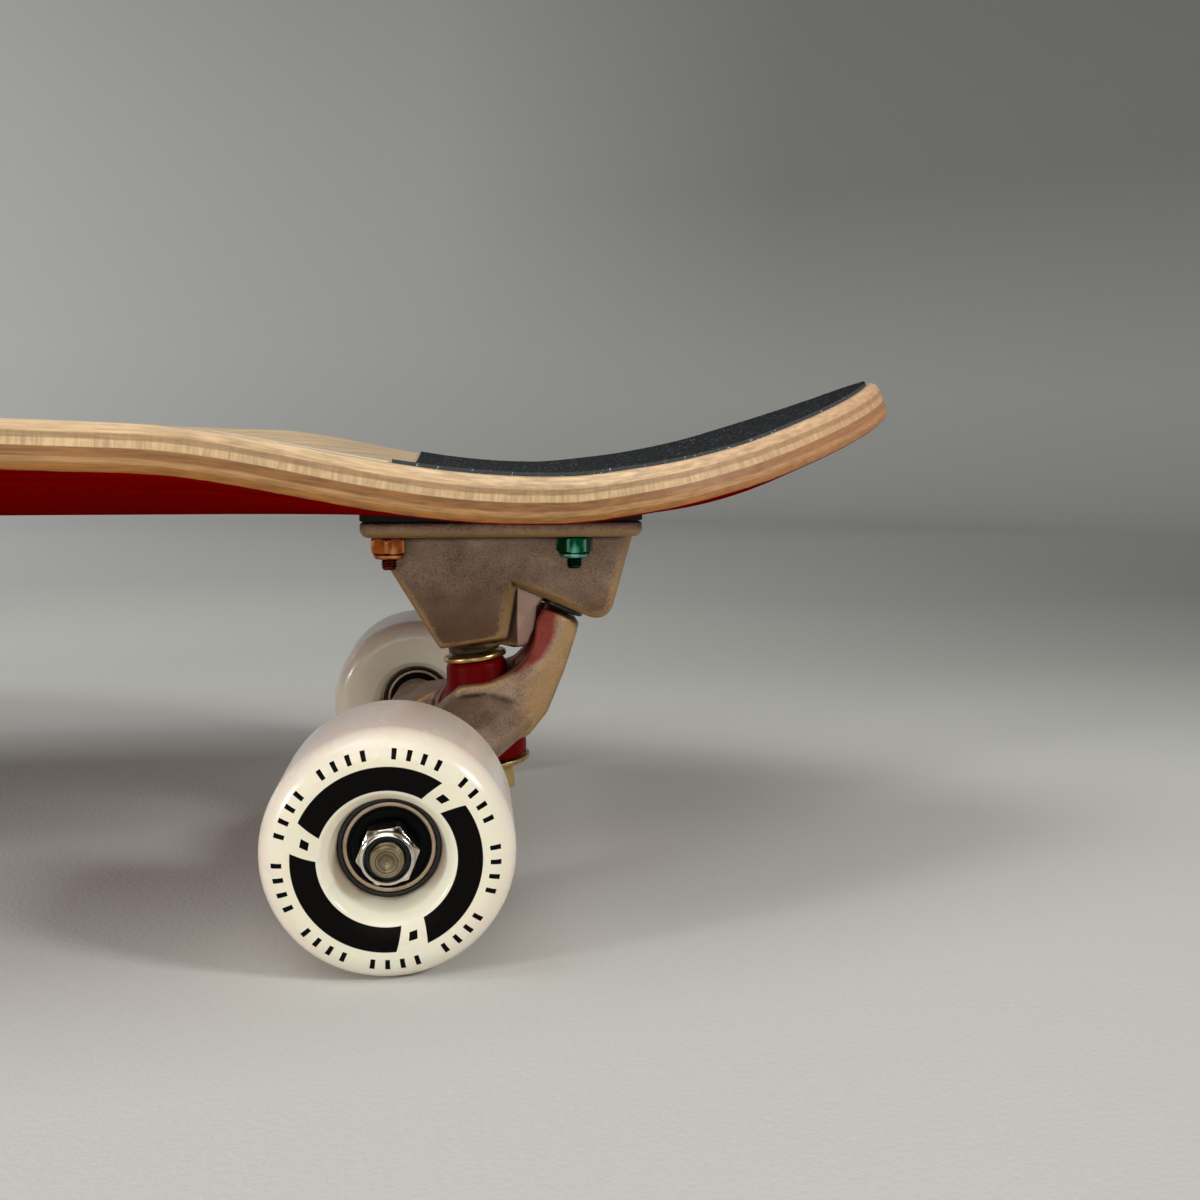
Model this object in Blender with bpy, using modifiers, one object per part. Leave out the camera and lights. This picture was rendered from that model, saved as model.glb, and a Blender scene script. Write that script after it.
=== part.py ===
"""Surfskate: a pressed seven-ply deck on two cast carving trucks with four urethane wheels.

Metres, +Z up. The nose points to -X, the tail to +X, and the rider's left is -Y. The floor is Z = 0,
and the origin lies under the middle of the bounding box. Each truck is modelled in its own frame, with
the origin in the middle of its axle, the kingpin towards +X and the wheels' axis along Y.
"""

import math

import bmesh
import bpy
from mathutils import Matrix, Vector

# Fits
GAP = 0.0003                    # between pieces that touch, and round each bolt, pin and bore
CUT = 0.02                      # how far a cutter runs past what it cuts

# Layout of the board
WHEELBASE = 0.440               # axle to axle
TAIL_OVERHANG = 0.1462          # rear axle to the tail's top edge
NOSE_OVERHANG = 0.186           # front axle to the nose's top edge

# Deck
DECK_WIDTH = 0.236
DECK_THICKNESS = 0.0118
RIM_ROUND = 0.0026              # rounding of the sanded rim
TAIL_TAPER = 0.2388             # length over which the outline closes to the tail
TAIL_POWERS = (1.58, 1.59)      # along and across: 2 and 2 is an ellipse, more is blunter
NOSE_TAPER = 0.250              # the same to the nose
NOSE_POWERS = (2.3, 2.3)
DECK_FLAT = 0.0184              # half width of the flat middle
CONCAVE_MIDDLE = 0.0144         # how far the rails stand above the middle, between the trucks
CONCAVE_TRUCK = 0.0             # over the trucks
CONCAVE_TAIL = 0.0240           # on the tail, where the outline is too narrow to reach it
CONCAVE_NOSE = 0.0130           # on the nose
CONCAVE_FADE = 0.094            # from the least concave, over the truck, to the full one
CONCAVE_TAIL_FADE = 0.060       # the same towards the tail or the nose
TRUCK_MIDDLE = 0.0430           # from an axle to the least concave above its truck
KICK_START = 0.065              # from an axle to where the deck turns up
TAIL_KICK_RADIUS = 0.0887
TAIL_KICK_ANGLE = math.radians(23.6)
NOSE_KICK_RADIUS = 0.200
NOSE_KICK_ANGLE = math.radians(15.0)
GRID_FINE = 0.010               # spacing of the deck's mesh along the kicks
GRID_COARSE = 0.020             # between them
GRID_ACROSS = 0.0163            # from the flat middle out to the rails
OUTLINE_STEPS = 12              # points on a quarter of the outline

# Grip sheet on the tail
GRIP_THICKNESS = 0.0009
GRIP_GAP = 0.0005               # over the deck, whose facets and the sheet's differ a little
GRIP_INSET = 0.0030             # from the rim
GRIP_START = 0.0020             # from the rear axle to the sheet's straight front edge

# Truck bolts
BOLT_R = 0.0024
BOLT_HEAD_R = 0.0046
BOLT_BELOW_NUT = 0.0032
BOLT_INNER_X = -0.0036          # the bolt row nearer the middle of the board
BOLT_ROWS = 0.054               # from one row to the other
BOLT_HALF_SPREAD = 0.02065
MOUNT_NUT_ACROSS = 0.0095
MOUNT_NUT_HEIGHT = 0.0060

# Riser pad and baseplate, in the truck's frame
PAD_THICKNESS = 0.0022
FLANGE_INNER_X = -0.0117
FLANGE_OUTER_X = 0.0702
FLANGE_HALF_WIDTH = 0.028
FLANGE_CORNER = 0.0045
FLANGE_BOTTOM = 0.0674          # above the axle
FLANGE_THICKNESS = 0.0045
BLOCK_HALF_WIDTH_TOP = 0.0142
BLOCK_HALF_WIDTH_BOTTOM = 0.0120
BLOCK_TOP_INNER_X = -0.0114
BLOCK_TOP_OUTER_X = 0.0696
BLOCK_SEAT_INNER_X = 0.0104
BLOCK_SEAT_OUTER_X = 0.0309
BLOCK_SEAT_HEIGHT = 0.0232      # along the kingpin, above the hanger ring's centre
NOTCH = (0.0337, 0.0514)        # inner corner over the hanger's neck: x, z
PIVOT_FACE_ANGLE = math.radians(23.4)
BLOCK_HEEL_X = 0.0556           # where the pivot's face ends
BLOCK_HEEL_ROUND = 0.0055
BLOCK_SIDE_ANGLE = math.radians(17)  # of the outer side, from upright
RIB_HALF_WIDTH = 0.0045
RIB_REACH = 0.0068              # how far the rib stands off the block, under the pivot's face
BOSS_R = 0.0078

# Pivot
PIVOT_X = 0.0496
PIVOT_Z = 0.0475                # above the axle
BALL_R = 0.0047
STEM_R = 0.0034
STEM_LENGTH = 0.0140            # from the ball's centre down into the neck
CUP_WALL = 0.0013
CUP_MOUTH = 0.0044              # from the ball's centre down to the cup's mouth
CUP_LIP_R = 0.0070
CUP_LIP_HEIGHT = 0.0015

# Kingpin and bushings
RING_X = 0.0232                 # centre of the hanger's ring
RING_Z = 0.0110                 # above the axle
KINGPIN_TILT = math.radians(7.0)
KINGPIN_R = 0.00475
KINGPIN_HEAD_R = 0.0078
KINGPIN_HEAD_HEIGHT = 0.0045
KINGPIN_HEAD_DEPTH = 0.0026     # of the head's top below the flange's top, along the kingpin
KINGPIN_PAST_NUT = 0.0030
KINGPIN_NUT_ACROSS = 0.0140
KINGPIN_NUT_HEIGHT = 0.0078
RING_ABOVE = 0.0040             # the ring's web above its centre, along the kingpin
RING_BELOW = 0.0064
RING_BORE_R = 0.0082
TOP_WASHER_R = 0.0097
TOP_WASHER_THICKNESS = 0.0017
TOP_BUSHING_HEIGHT = 0.0128
TOP_BUSHING_R = 0.0088          # under the washer
BUSHING_R = 0.0125              # at the ring
BUSHING_SKIRT = 0.0020          # height over which the top bushing keeps that radius
BOTTOM_BUSHING_HEIGHT = 0.0074
BOTTOM_WASHER_R = 0.0129
BOTTOM_WASHER_THICKNESS = 0.0017

# Hanger
HANGER_HALF_WIDTH = 0.076
BODY_HALF_WIDTH = 0.0170
NECK_HALF_WIDTH = 0.0085
NECK_TOP_GAP = 0.0011           # under the pivot cup's lip, where the hanger swings
NECK_TOP_REACH = (-0.0058, 0.0062)  # of the neck's top, to either side of the cup's axis
NECK_GROOVE_HALF_WIDTH = 0.0066
NECK_GROOVE_DEPTH = 0.0026      # past the rib
REAR_TAPER_X = 0.0352           # where the middle's sides draw in towards its outer face
REAR_TAPER_LENGTH = 0.0220
REAR_TAPER_HALF_WIDTH = 0.0050
BUSHING_CUP_R = 0.0132
WASHER_ROOM_R = 0.0172          # bored out under the ring, for the washer as the hanger steers
RING_WALL_REACH = (0.0128, -0.0150)     # of the ring's wall, to either side of the kingpin
NECK_INNER_SIDE = ((-0.0150, 0.0020), (-0.0120, 0.0062), (-0.0068, 0.0112), (0.0015, 0.0122),
                   (0.0105, 0.0155), (0.0139, 0.0195), (0.0159, 0.0240),
                   (0.0166, 0.0299))        # from the ring's centre: x, z, going up
NECK_OUTER_SIDE = ((0.0291, 0.0257), (0.0252, 0.0144), (0.0196, 0.0018))    # the same, going down
NECK_SIDES = ((0.0225, 0.0170), (0.0310, 0.0125), (0.0380, 0.0108))     # z, half width; neck's top is last
WING_ROOT_AT_RING = ((-0.0082, 0.0085), (0.0030, 0.0092), (0.0120, 0.0060), (0.0160, 0.0015),
                     (0.0135, -0.0037), (0.0030, -0.0066))      # from the ring's centre: x, z
WING_ROOT_AT_AXLE = ((0.0040, -0.0102), (-0.0102, -0.0060), (-0.0102, 0.0055), (0.0040, 0.0135))
WING_OVERLAP = 0.0030           # of each wing with the hanger's middle
WING_TUBE_R = 0.0085
WING_TUBE_LENGTH = 0.014

# Axle, wheels and bearings
AXLE_R = 0.0040
AXLE_PAST_NUT = 0.0022
SPEED_WASHER_R = 0.0059
SPEED_WASHER_THICKNESS = 0.0010
AXLE_NUT_ACROSS = 0.0130
AXLE_NUT_HEIGHT = 0.0062
AXLE_NUT_COLLAR_R = 0.0060
AXLE_NUT_COLLAR_HEIGHT = 0.0018
BEARING_R = 0.0110
BEARING_WIDTH = 0.0070
INNER_RACE_R = 0.0056
SPACER_R = 0.0050
HUB_WIDTH = 0.0240              # over both bearings
CORE_WALL = 0.0010
CORE_WEB_R = 0.0080
WHEEL_R = 0.0300
WHEEL_WIDTH = 0.0440
TREAD_WIDTH = 0.0300
SIDE_EDGE_R = 0.0235            # where the side face meets the shoulder
DISH_R = 0.0155                 # where the side face dips to the hub
DISH_STEP = 0.0006              # how far it has drawn in there

WHEEL_STEPS = 32
TURNED_STEPS = 20
SMALL_STEPS = 16
BOLT_STEPS = 10

FLANGE_TOP = FLANGE_BOTTOM + FLANGE_THICKNESS
PAD_BOTTOM = FLANGE_TOP + GAP
DECK_BOTTOM = PAD_BOTTOM + PAD_THICKNESS + GAP          # above the axle
DECK_TOP = WHEEL_R + DECK_BOTTOM + DECK_THICKNESS       # above the floor, in the flat middle
STEER_TILT = math.atan2(PIVOT_X - RING_X, PIVOT_Z - RING_Z)
REAR_AXLE_X = WHEELBASE / 2
FRONT_AXLE_X = -WHEELBASE / 2
HUB_INNER = HANGER_HALF_WIDTH + GAP + SPEED_WASHER_THICKNESS
HUB_OUTER = HUB_INNER + HUB_WIDTH
WHEEL_Y = (HUB_INNER + HUB_OUTER) / 2
AXLE_NUT_Y = HUB_OUTER + SPEED_WASHER_THICKNESS + GAP


def clear_scene():
    for obj in list(bpy.data.objects):
        bpy.data.objects.remove(obj, do_unlink=True)


def new_collection(name):
    made = bpy.data.collections.new(name)
    bpy.context.scene.collection.children.link(made)
    return made


def new_material(name, colour, roughness, metallic=0.0):
    made = bpy.data.materials.new(name)
    made.use_nodes = True
    shader = made.node_tree.nodes["Principled BSDF"]
    shader.inputs["Base Color"].default_value = (*colour, 1.0)
    shader.inputs["Roughness"].default_value = roughness
    shader.inputs["Metallic"].default_value = metallic
    return made


clear_scene()
BOARD = new_collection("surfskate")
WORKSHOP = new_collection("shapes_in_work")


# Shapes: each helper leaves a mesh object in the workshop, in the frame of what is being made

def in_work(name, data):
    obj = bpy.data.objects.new(name, data)
    WORKSHOP.objects.link(obj)
    return obj


def baked(obj):
    """The object as it looks with its modifiers and its placing, as a plain mesh object."""
    bpy.context.view_layer.update()
    seen = obj.evaluated_get(bpy.context.evaluated_depsgraph_get())
    mesh = bpy.data.meshes.new_from_object(seen)
    mesh.transform(obj.matrix_world)
    work = bmesh.new()
    work.from_mesh(mesh)
    bmesh.ops.remove_doubles(work, verts=work.verts, dist=1e-6)
    work.to_mesh(mesh)
    work.free()
    name = obj.name
    bpy.data.objects.remove(obj, do_unlink=True)
    return in_work(name, mesh)


def turned(name, profile, steps=TURNED_STEPS, matrix=Matrix.Identity(4)):
    """A profile of (radius, height) turned about Z. It runs down the outer side and, where the piece is
    bored, closes up the inner one."""
    bored = min(radius for radius, _ in profile) > 0
    mesh = bpy.data.meshes.new(name)
    points = [(radius, 0.0, height) for radius, height in profile]
    edges = [(i, i + 1) for i in range(len(points) - 1)]
    if bored:
        edges.append((len(points) - 1, 0))
    mesh.from_pydata(points, edges, [])
    obj = in_work(name, mesh)
    screw = obj.modifiers.new("Turn", "SCREW")
    screw.steps = steps
    screw.render_steps = steps
    screw.use_merge_vertices = True
    screw.merge_threshold = 1e-5
    obj.matrix_world = matrix
    return baked(obj)


def tube_profile(outer, inner, top, bottom, chamfer=0.0):
    if not chamfer:
        return [(outer, top), (outer, bottom), (inner, bottom), (inner, top)]
    return [(outer - chamfer, top), (outer, top - chamfer), (outer, bottom + chamfer),
            (outer - chamfer, bottom), (inner, bottom), (inner, top)]


def cylinder(name, radius, bottom, top, steps=TURNED_STEPS, matrix=Matrix.Identity(4), tip_radius=None):
    """A cylinder about Z, or a cone with tip_radius at its top."""
    work = bmesh.new()
    bmesh.ops.create_cone(work, cap_ends=True, segments=steps, radius1=radius,
                          radius2=radius if tip_radius is None else tip_radius, depth=top - bottom,
                          matrix=matrix @ Matrix.Translation((0, 0, (top + bottom) / 2)))
    mesh = bpy.data.meshes.new(name)
    work.to_mesh(mesh)
    work.free()
    return in_work(name, mesh)


def filled_outline(name, points, half_depth, rounding=0.0, matrix=Matrix.Identity(4)):
    """A closed outline in XY, filled and given a depth both ways, with its edges rounded if asked."""
    data = bpy.data.curves.new(name, "CURVE")
    data.dimensions = "2D"
    data.fill_mode = "BOTH"
    data.extrude = half_depth - rounding
    data.bevel_depth = rounding
    data.bevel_resolution = 1
    data.offset = -rounding
    spline = data.splines.new("POLY")
    spline.points.add(len(points) - 1)
    for target, (x, y) in zip(spline.points, points):
        target.co = (x, y, 0.0, 1.0)
    spline.use_cyclic_u = True
    obj = in_work(name, data)
    obj.matrix_world = matrix
    return baked(obj)


def side_plate(name, outline, half_width):
    """An outline in the truck's XZ plane, half_width deep to each side."""
    return filled_outline(name, outline, half_width, matrix=Matrix.Rotation(math.radians(90), 4, "X"))


def front_plate(name, outline, reach):
    """An outline in the truck's YZ plane, reach deep both ways along X."""
    turn = Matrix(((0, 0, 1, 0), (1, 0, 0, 0), (0, 1, 0, 0), (0, 0, 0, 1)))
    return filled_outline(name, outline, reach, matrix=turn)


def block(name, low, high):
    low = Vector(low)
    high = Vector(high)
    work = bmesh.new()
    size = Matrix.Diagonal((*(high - low), 1.0))
    bmesh.ops.create_cube(work, size=1.0, matrix=Matrix.Translation((low + high) / 2) @ size)
    mesh = bpy.data.meshes.new(name)
    work.to_mesh(mesh)
    work.free()
    return in_work(name, mesh)


def combined(base, operation, *others):
    """base with the others joined to it, cut from it or kept in common with it, one after the other."""
    for other in others:
        step = base.modifiers.new(operation.title(), "BOOLEAN")
        step.operation = operation
        step.solver = "EXACT"
        step.object = other
    made = baked(base)
    for other in others:
        bpy.data.objects.remove(other, do_unlink=True)
    return made


def hexagon(name, across, bottom, top):
    """A six-sided prism about Z, with two of its flats facing along X."""
    corner = across / 2 / math.cos(math.radians(30))
    return cylinder(name, corner, bottom, top, steps=6)


def hex_nut(name, across, bottom, top, bore, collar_r=0.0, collar_height=0.0):
    """A nut about Z with its collar, if it has one, at the bottom."""
    chamfer = 0.0006
    corner = across / 2 / math.cos(math.radians(30))
    nut = hexagon(name, across, bottom - CUT, top + CUT)
    profile = [(corner - chamfer, top), (corner + chamfer, top - chamfer)]
    if collar_r:
        profile += [(corner + chamfer, bottom + collar_height + chamfer),
                    (corner - chamfer, bottom + collar_height), (collar_r, bottom + collar_height),
                    (collar_r, bottom)]
    else:
        profile += [(corner + chamfer, bottom + chamfer), (corner - chamfer, bottom)]
    profile += [(bore, bottom), (bore, top)]
    return combined(nut, "INTERSECT", turned(name + "_turned", profile, steps=12))


# Placing

def new_empty(name, matrix, parent=None):
    obj = bpy.data.objects.new(name, None)
    obj.empty_display_size = 0.02
    BOARD.objects.link(obj)
    place(obj, matrix, parent)
    return obj


def place(obj, matrix, parent):
    """Puts the object at a place in the board's frame, and leaves it a child of parent."""
    if parent:
        bpy.context.view_layer.update()
        obj.parent = parent
        obj.matrix_parent_inverse = parent.matrix_world.inverted()
    obj.matrix_basis = matrix


def piece(name, mesh, material, matrix, parent):
    """A piece of the board, from a mesh that other pieces may share."""
    obj = bpy.data.objects.new(name, mesh)
    BOARD.objects.link(obj)
    if not mesh.materials:
        mesh.materials.append(material)
    obj.material_slots[0].link = "OBJECT"
    obj.material_slots[0].material = material
    place(obj, matrix, parent)
    return obj


def finished(obj, name):
    """The mesh of an object in work, with flat faces flat and round ones smooth. The object goes."""
    mesh = obj.data
    mesh.name = name
    mesh.shade_smooth()
    mesh.set_sharp_from_angle(angle=math.radians(32))
    bpy.data.objects.remove(obj, do_unlink=True)
    return mesh


# Deck

TAIL_X = REAR_AXLE_X + TAIL_OVERHANG
NOSE_X = FRONT_AXLE_X - NOSE_OVERHANG


def smooth_step(t):
    t = min(max(t, 0.0), 1.0)
    return t * t * (3 - 2 * t)


def kick_rise(distance, radius, angle):
    """Height of an arc that turns up over distance and then runs straight at angle."""
    arc = radius * math.sin(angle)
    if distance <= 0:
        return 0.0
    if distance <= arc:
        return radius - math.sqrt(radius ** 2 - distance ** 2)
    return radius * (1 - math.cos(angle)) + (distance - arc) * math.tan(angle)


def concave(x):
    """How far the rails stand above the middle at full width."""
    tailward = x > 0
    along = x - REAR_AXLE_X if tailward else FRONT_AXLE_X - x
    end = CONCAVE_TAIL if tailward else CONCAVE_NOSE
    past = along - TRUCK_MIDDLE
    if past < 0:
        return CONCAVE_TRUCK + (CONCAVE_MIDDLE - CONCAVE_TRUCK) * smooth_step(-past / CONCAVE_FADE)
    return CONCAVE_TRUCK + (end - CONCAVE_TRUCK) * smooth_step(past / CONCAVE_TAIL_FADE)


def deck_height(x, y):
    """Height of the deck's top face above the floor."""
    rail = max(abs(y) - DECK_FLAT, 0.0) / (DECK_WIDTH / 2 - DECK_FLAT)
    tail = kick_rise(x - REAR_AXLE_X - KICK_START, TAIL_KICK_RADIUS, TAIL_KICK_ANGLE)
    nose = kick_rise(FRONT_AXLE_X - KICK_START - x, NOSE_KICK_RADIUS, NOSE_KICK_ANGLE)
    return DECK_TOP + tail + nose + concave(x) * rail ** 2


def pressed(point):
    """A point of the flat blank, whose top face is Z = 0, after the press: its depth stays square to the
    curved top face."""
    step = 1e-4
    x, y, depth = point
    slope_x = (deck_height(x + step, y) - deck_height(x - step, y)) / (2 * step)
    slope_y = (deck_height(x, y + step) - deck_height(x, y - step)) / (2 * step)
    normal = Vector((-slope_x, -slope_y, 1.0)).normalized()
    return Vector((x, y, deck_height(x, y))) + normal * depth


def closing_end(taper, powers, inset):
    """A quarter of the outline, as (how far past the full width, half width), from the tip to the side."""
    quarter = []
    for i in range(OUTLINE_STEPS + 1):
        turn = math.radians(90) * i / OUTLINE_STEPS
        along = (taper - inset) * math.cos(turn) ** (2 / powers[0])
        quarter.append((along, (DECK_WIDTH / 2 - inset) * math.sin(turn) ** (2 / powers[1])))
    return quarter


def deck_outline(inset):
    """The outline as seen from above, from the tail's tip round by the right rail."""
    right = [(TAIL_X - TAIL_TAPER + along, y) for along, y in closing_end(TAIL_TAPER, TAIL_POWERS, inset)]
    nose = closing_end(NOSE_TAPER, NOSE_POWERS, inset)
    right += [(NOSE_X + NOSE_TAPER - along, y) for along, y in reversed(nose)]
    return right + [(x, -y) for x, y in reversed(right[1:-1])]


def grid_lines():
    """Planes that cut the blank into a grid: (point, normal) of each."""
    lines = []
    x = math.ceil(NOSE_X / GRID_COARSE) * GRID_COARSE
    while x < TAIL_X:
        lines.append(((x, 0, 0), (1, 0, 0)))
        fine = x >= REAR_AXLE_X + KICK_START - GRID_COARSE
        x += GRID_FINE if fine else GRID_COARSE
    y = DECK_FLAT
    while y < DECK_WIDTH / 2:
        lines.append(((0, y, 0), (0, 1, 0)))
        lines.append(((0, -y, 0), (0, 1, 0)))
        y += GRID_ACROSS
    return lines


def pressed_plate(name, inset, top, bottom, rounding, start_x=None):
    """A plate of the deck's outline between two depths, cut into a grid and pressed to the curved form."""
    half = (top - bottom) / 2
    plate = filled_outline(name, deck_outline(inset), half, rounding,
                           Matrix.Translation((0, 0, (top + bottom) / 2)))
    work = bmesh.new()
    work.from_mesh(plate.data)
    for side in (1, -1):
        flat = [face for face in work.faces if face.normal.z * side > 0.999]
        bmesh.ops.dissolve_faces(work, faces=flat)
    if start_x is not None:
        everything = work.verts[:] + work.edges[:] + work.faces[:]
        cut = bmesh.ops.bisect_plane(work, geom=everything, plane_co=(start_x, 0, 0),
                                     plane_no=(-1, 0, 0), clear_outer=True)
        rim = [edge for edge in cut["geom_cut"] if isinstance(edge, bmesh.types.BMEdge)]
        bmesh.ops.edgeloop_fill(work, edges=rim)
    for point, normal in grid_lines():
        everything = work.verts[:] + work.edges[:] + work.faces[:]
        bmesh.ops.bisect_plane(work, geom=everything, dist=1e-5, plane_co=point, plane_no=normal)
    bmesh.ops.remove_doubles(work, verts=work.verts, dist=2e-4)
    for vertex in work.verts:
        vertex.co = pressed(vertex.co)
    bmesh.ops.recalc_face_normals(work, faces=work.faces)
    work.to_mesh(plate.data)
    work.free()
    return plate


def bolt_places(truck):
    """(side name, row name, x, y) of a truck's four bolts, in its own frame."""
    return [(side, row, x, y * truck.side_sign)
            for side, y in (("left", -BOLT_HALF_SPREAD), ("right", BOLT_HALF_SPREAD))
            for row, x in (("inner", BOLT_INNER_X), ("outer", BOLT_INNER_X + BOLT_ROWS))]


class TruckPlace:
    """Where a truck stands, and how its own frame lies in the board's."""

    def __init__(self, name, axle_x, heading):
        self.name = name
        self.matrix = Matrix.Translation((axle_x, 0, WHEEL_R)) @ Matrix.Rotation(heading, 4, "Z")
        self.side_sign = 1 if heading == 0 else -1


TRUCKS = (TruckPlace("rear", REAR_AXLE_X, 0.0), TruckPlace("front", FRONT_AXLE_X, math.pi))


def bolt_spots():
    """Where each of the eight bolts crosses the deck's top face."""
    spots = [truck.matrix @ Vector((x, y, 0)) for truck in TRUCKS for _, _, x, y in bolt_places(truck)]
    return [Vector((spot.x, spot.y, DECK_TOP)) for spot in spots]


def deck_mesh():
    plate = pressed_plate("deck", 0.0, 0.0, -DECK_THICKNESS, RIM_ROUND)
    head_r = BOLT_HEAD_R + GAP
    bolt_r = BOLT_R + GAP
    profile = [(0.0, CUT), (head_r, CUT), (head_r, 0.0), (bolt_r, bolt_r - head_r), (bolt_r, -CUT), (0.0, -CUT)]
    sinks = [turned("countersink", profile, BOLT_STEPS, Matrix.Translation(spot)) for spot in bolt_spots()]
    return finished(combined(plate, "DIFFERENCE", *sinks), "deck")


def grip_mesh():
    start = REAR_AXLE_X + GRIP_START
    plate = pressed_plate("tail_grip", GRIP_INSET, GRIP_THICKNESS + GRIP_GAP, GRIP_GAP, 0.0, start)
    radius = BOLT_HEAD_R + 2 * GAP
    holes = [cylinder("bolt_hole", radius, -CUT, CUT, BOLT_STEPS, Matrix.Translation(spot))
             for spot in bolt_spots() if spot.x + radius > start]
    return finished(combined(plate, "DIFFERENCE", *holes), "tail_grip")


# Baseplate, riser pad and pivot cup

def rounded_rectangle(x0, x1, y0, y1, radius, steps=3):
    points = []
    corners = ((x1 - radius, y1 - radius, 0), (x0 + radius, y1 - radius, 90),
               (x0 + radius, y0 + radius, 180), (x1 - radius, y0 + radius, 270))
    for x, y, start in corners:
        for i in range(steps + 1):
            turn = math.radians(start + 90 * i / steps)
            points.append((x + radius * math.cos(turn), y + radius * math.sin(turn)))
    return points


def flange_plate(name, bottom, top):
    outline = rounded_rectangle(FLANGE_INNER_X, FLANGE_OUTER_X, -FLANGE_HALF_WIDTH, FLANGE_HALF_WIDTH,
                                FLANGE_CORNER)
    return filled_outline(name, outline, (top - bottom) / 2,
                          matrix=Matrix.Translation((0, 0, (top + bottom) / 2)))


def flange_holes():
    return [cylinder("bolt_hole", BOLT_R + GAP, FLANGE_BOTTOM - CUT, PAD_BOTTOM + CUT, BOLT_STEPS,
                     Matrix.Translation((x, y, 0)))
            for _, _, x, y in bolt_places(TRUCKS[0])]


def kingpin_frame():
    """The frame of what stands on the kingpin: origin in the hanger's ring, +Z up the kingpin."""
    return Matrix.Translation((RING_X, 0, RING_Z)) @ Matrix.Rotation(-KINGPIN_TILT, 4, "Y")


def cup_frame():
    """The frame of the pivot cup: origin in the ball's centre, +Z up into the baseplate."""
    return Matrix.Translation((PIVOT_X, 0, PIVOT_Z)) @ Matrix.Rotation(PIVOT_FACE_ANGLE, 4, "Y")


def steer_frame():
    """The frame of the steering axis: origin in the hanger's ring, +Z up towards the pivot."""
    return Matrix.Translation((RING_X, 0, RING_Z)) @ Matrix.Rotation(STEER_TILT, 4, "Y")


def seat_point(x):
    """The point at x on the block's lower face, which is square to the kingpin."""
    foot = kingpin_frame() @ Vector((0, 0, BLOCK_SEAT_HEIGHT))
    return (x, foot.z + (x - foot.x) * math.tan(KINGPIN_TILT))


def pivot_face_z(x):
    return NOTCH[1] - (x - NOTCH[0]) * math.tan(PIVOT_FACE_ANGLE)


def block_outline():
    """The baseplate's side outline, from its top inner corner down to the kingpin's seat and round."""
    heel = Vector((BLOCK_HEEL_X, pivot_face_z(BLOCK_HEEL_X)))
    centre = heel + Vector((math.sin(PIVOT_FACE_ANGLE), math.cos(PIVOT_FACE_ANGLE))) * BLOCK_HEEL_ROUND
    round_heel = []
    steps = 4
    sweep = math.radians(90) + PIVOT_FACE_ANGLE - BLOCK_SIDE_ANGLE
    for i in range(steps + 1):
        turn = sweep * (i / steps - 1) - BLOCK_SIDE_ANGLE
        round_heel.append((centre.x + BLOCK_HEEL_ROUND * math.cos(turn),
                           centre.y + BLOCK_HEEL_ROUND * math.sin(turn)))
    top = FLANGE_BOTTOM + FLANGE_THICKNESS / 2
    return [(BLOCK_TOP_INNER_X, top), seat_point(BLOCK_SEAT_INNER_X), seat_point(BLOCK_SEAT_OUTER_X),
            NOTCH, *round_heel, (BLOCK_TOP_OUTER_X, top)]


def baseplate_mesh():
    top = FLANGE_BOTTOM + FLANGE_THICKNESS / 2
    body = side_plate("baseplate", block_outline(), FLANGE_HALF_WIDTH)
    bottom = RING_Z
    draft = [(-BLOCK_HALF_WIDTH_BOTTOM, bottom), (BLOCK_HALF_WIDTH_BOTTOM, bottom),
             (BLOCK_HALF_WIDTH_TOP, top + CUT), (-BLOCK_HALF_WIDTH_TOP, top + CUT)]
    body = combined(body, "INTERSECT", front_plate("draft", draft, WHEELBASE / 2))
    seat = seat_point(BLOCK_SEAT_OUTER_X)
    inside = RIB_REACH / 3
    reach_x = NOTCH[0] + RIB_REACH
    rib = [(NOTCH[0] - inside, NOTCH[1] + inside), (seat[0] - inside, seat[1] + inside),
           (seat[0] - RIB_REACH / 2, seat[1] - inside), (seat[0] + inside, seat[1] - RIB_REACH * 0.55),
           (seat[0] + RIB_REACH * 0.8, seat[1] - inside),
           (reach_x - inside, NOTCH[1] - 2 * RIB_REACH), (reach_x, NOTCH[1] - RIB_REACH),
           (reach_x, pivot_face_z(reach_x) + inside / 2)]
    boss_foot = RING_ABOVE + TOP_BUSHING_HEIGHT + TOP_WASHER_THICKNESS + 3 * GAP
    boss = cylinder("boss", BOSS_R, boss_foot, BLOCK_SEAT_HEIGHT + BOSS_R, matrix=kingpin_frame())
    body = combined(body, "UNION", side_plate("rib", rib, RIB_HALF_WIDTH), boss,
                    flange_plate("flange", FLANGE_BOTTOM, FLANGE_TOP))
    head_top = (FLANGE_TOP - RING_Z) / math.cos(KINGPIN_TILT) - KINGPIN_HEAD_DEPTH
    head_seat = head_top - KINGPIN_HEAD_HEIGHT - GAP
    bore = cylinder("kingpin_bore", KINGPIN_R + GAP, 0.0, head_top, matrix=kingpin_frame())
    recess = cylinder("head_recess", KINGPIN_HEAD_R + 2 * GAP, head_seat, head_top + CUT,
                      matrix=kingpin_frame())
    socket_r = BALL_R + GAP + CUP_WALL + GAP
    socket = cylinder("cup_socket", socket_r, -CUT, BALL_R + 2 * GAP + CUP_WALL, matrix=cup_frame())
    return finished(combined(body, "DIFFERENCE", bore, recess, socket, *flange_holes()), "baseplate")


def riser_pad_mesh():
    pad = flange_plate("riser_pad", PAD_BOTTOM, PAD_BOTTOM + PAD_THICKNESS)
    return finished(combined(pad, "DIFFERENCE", *flange_holes()), "riser_pad")


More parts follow.
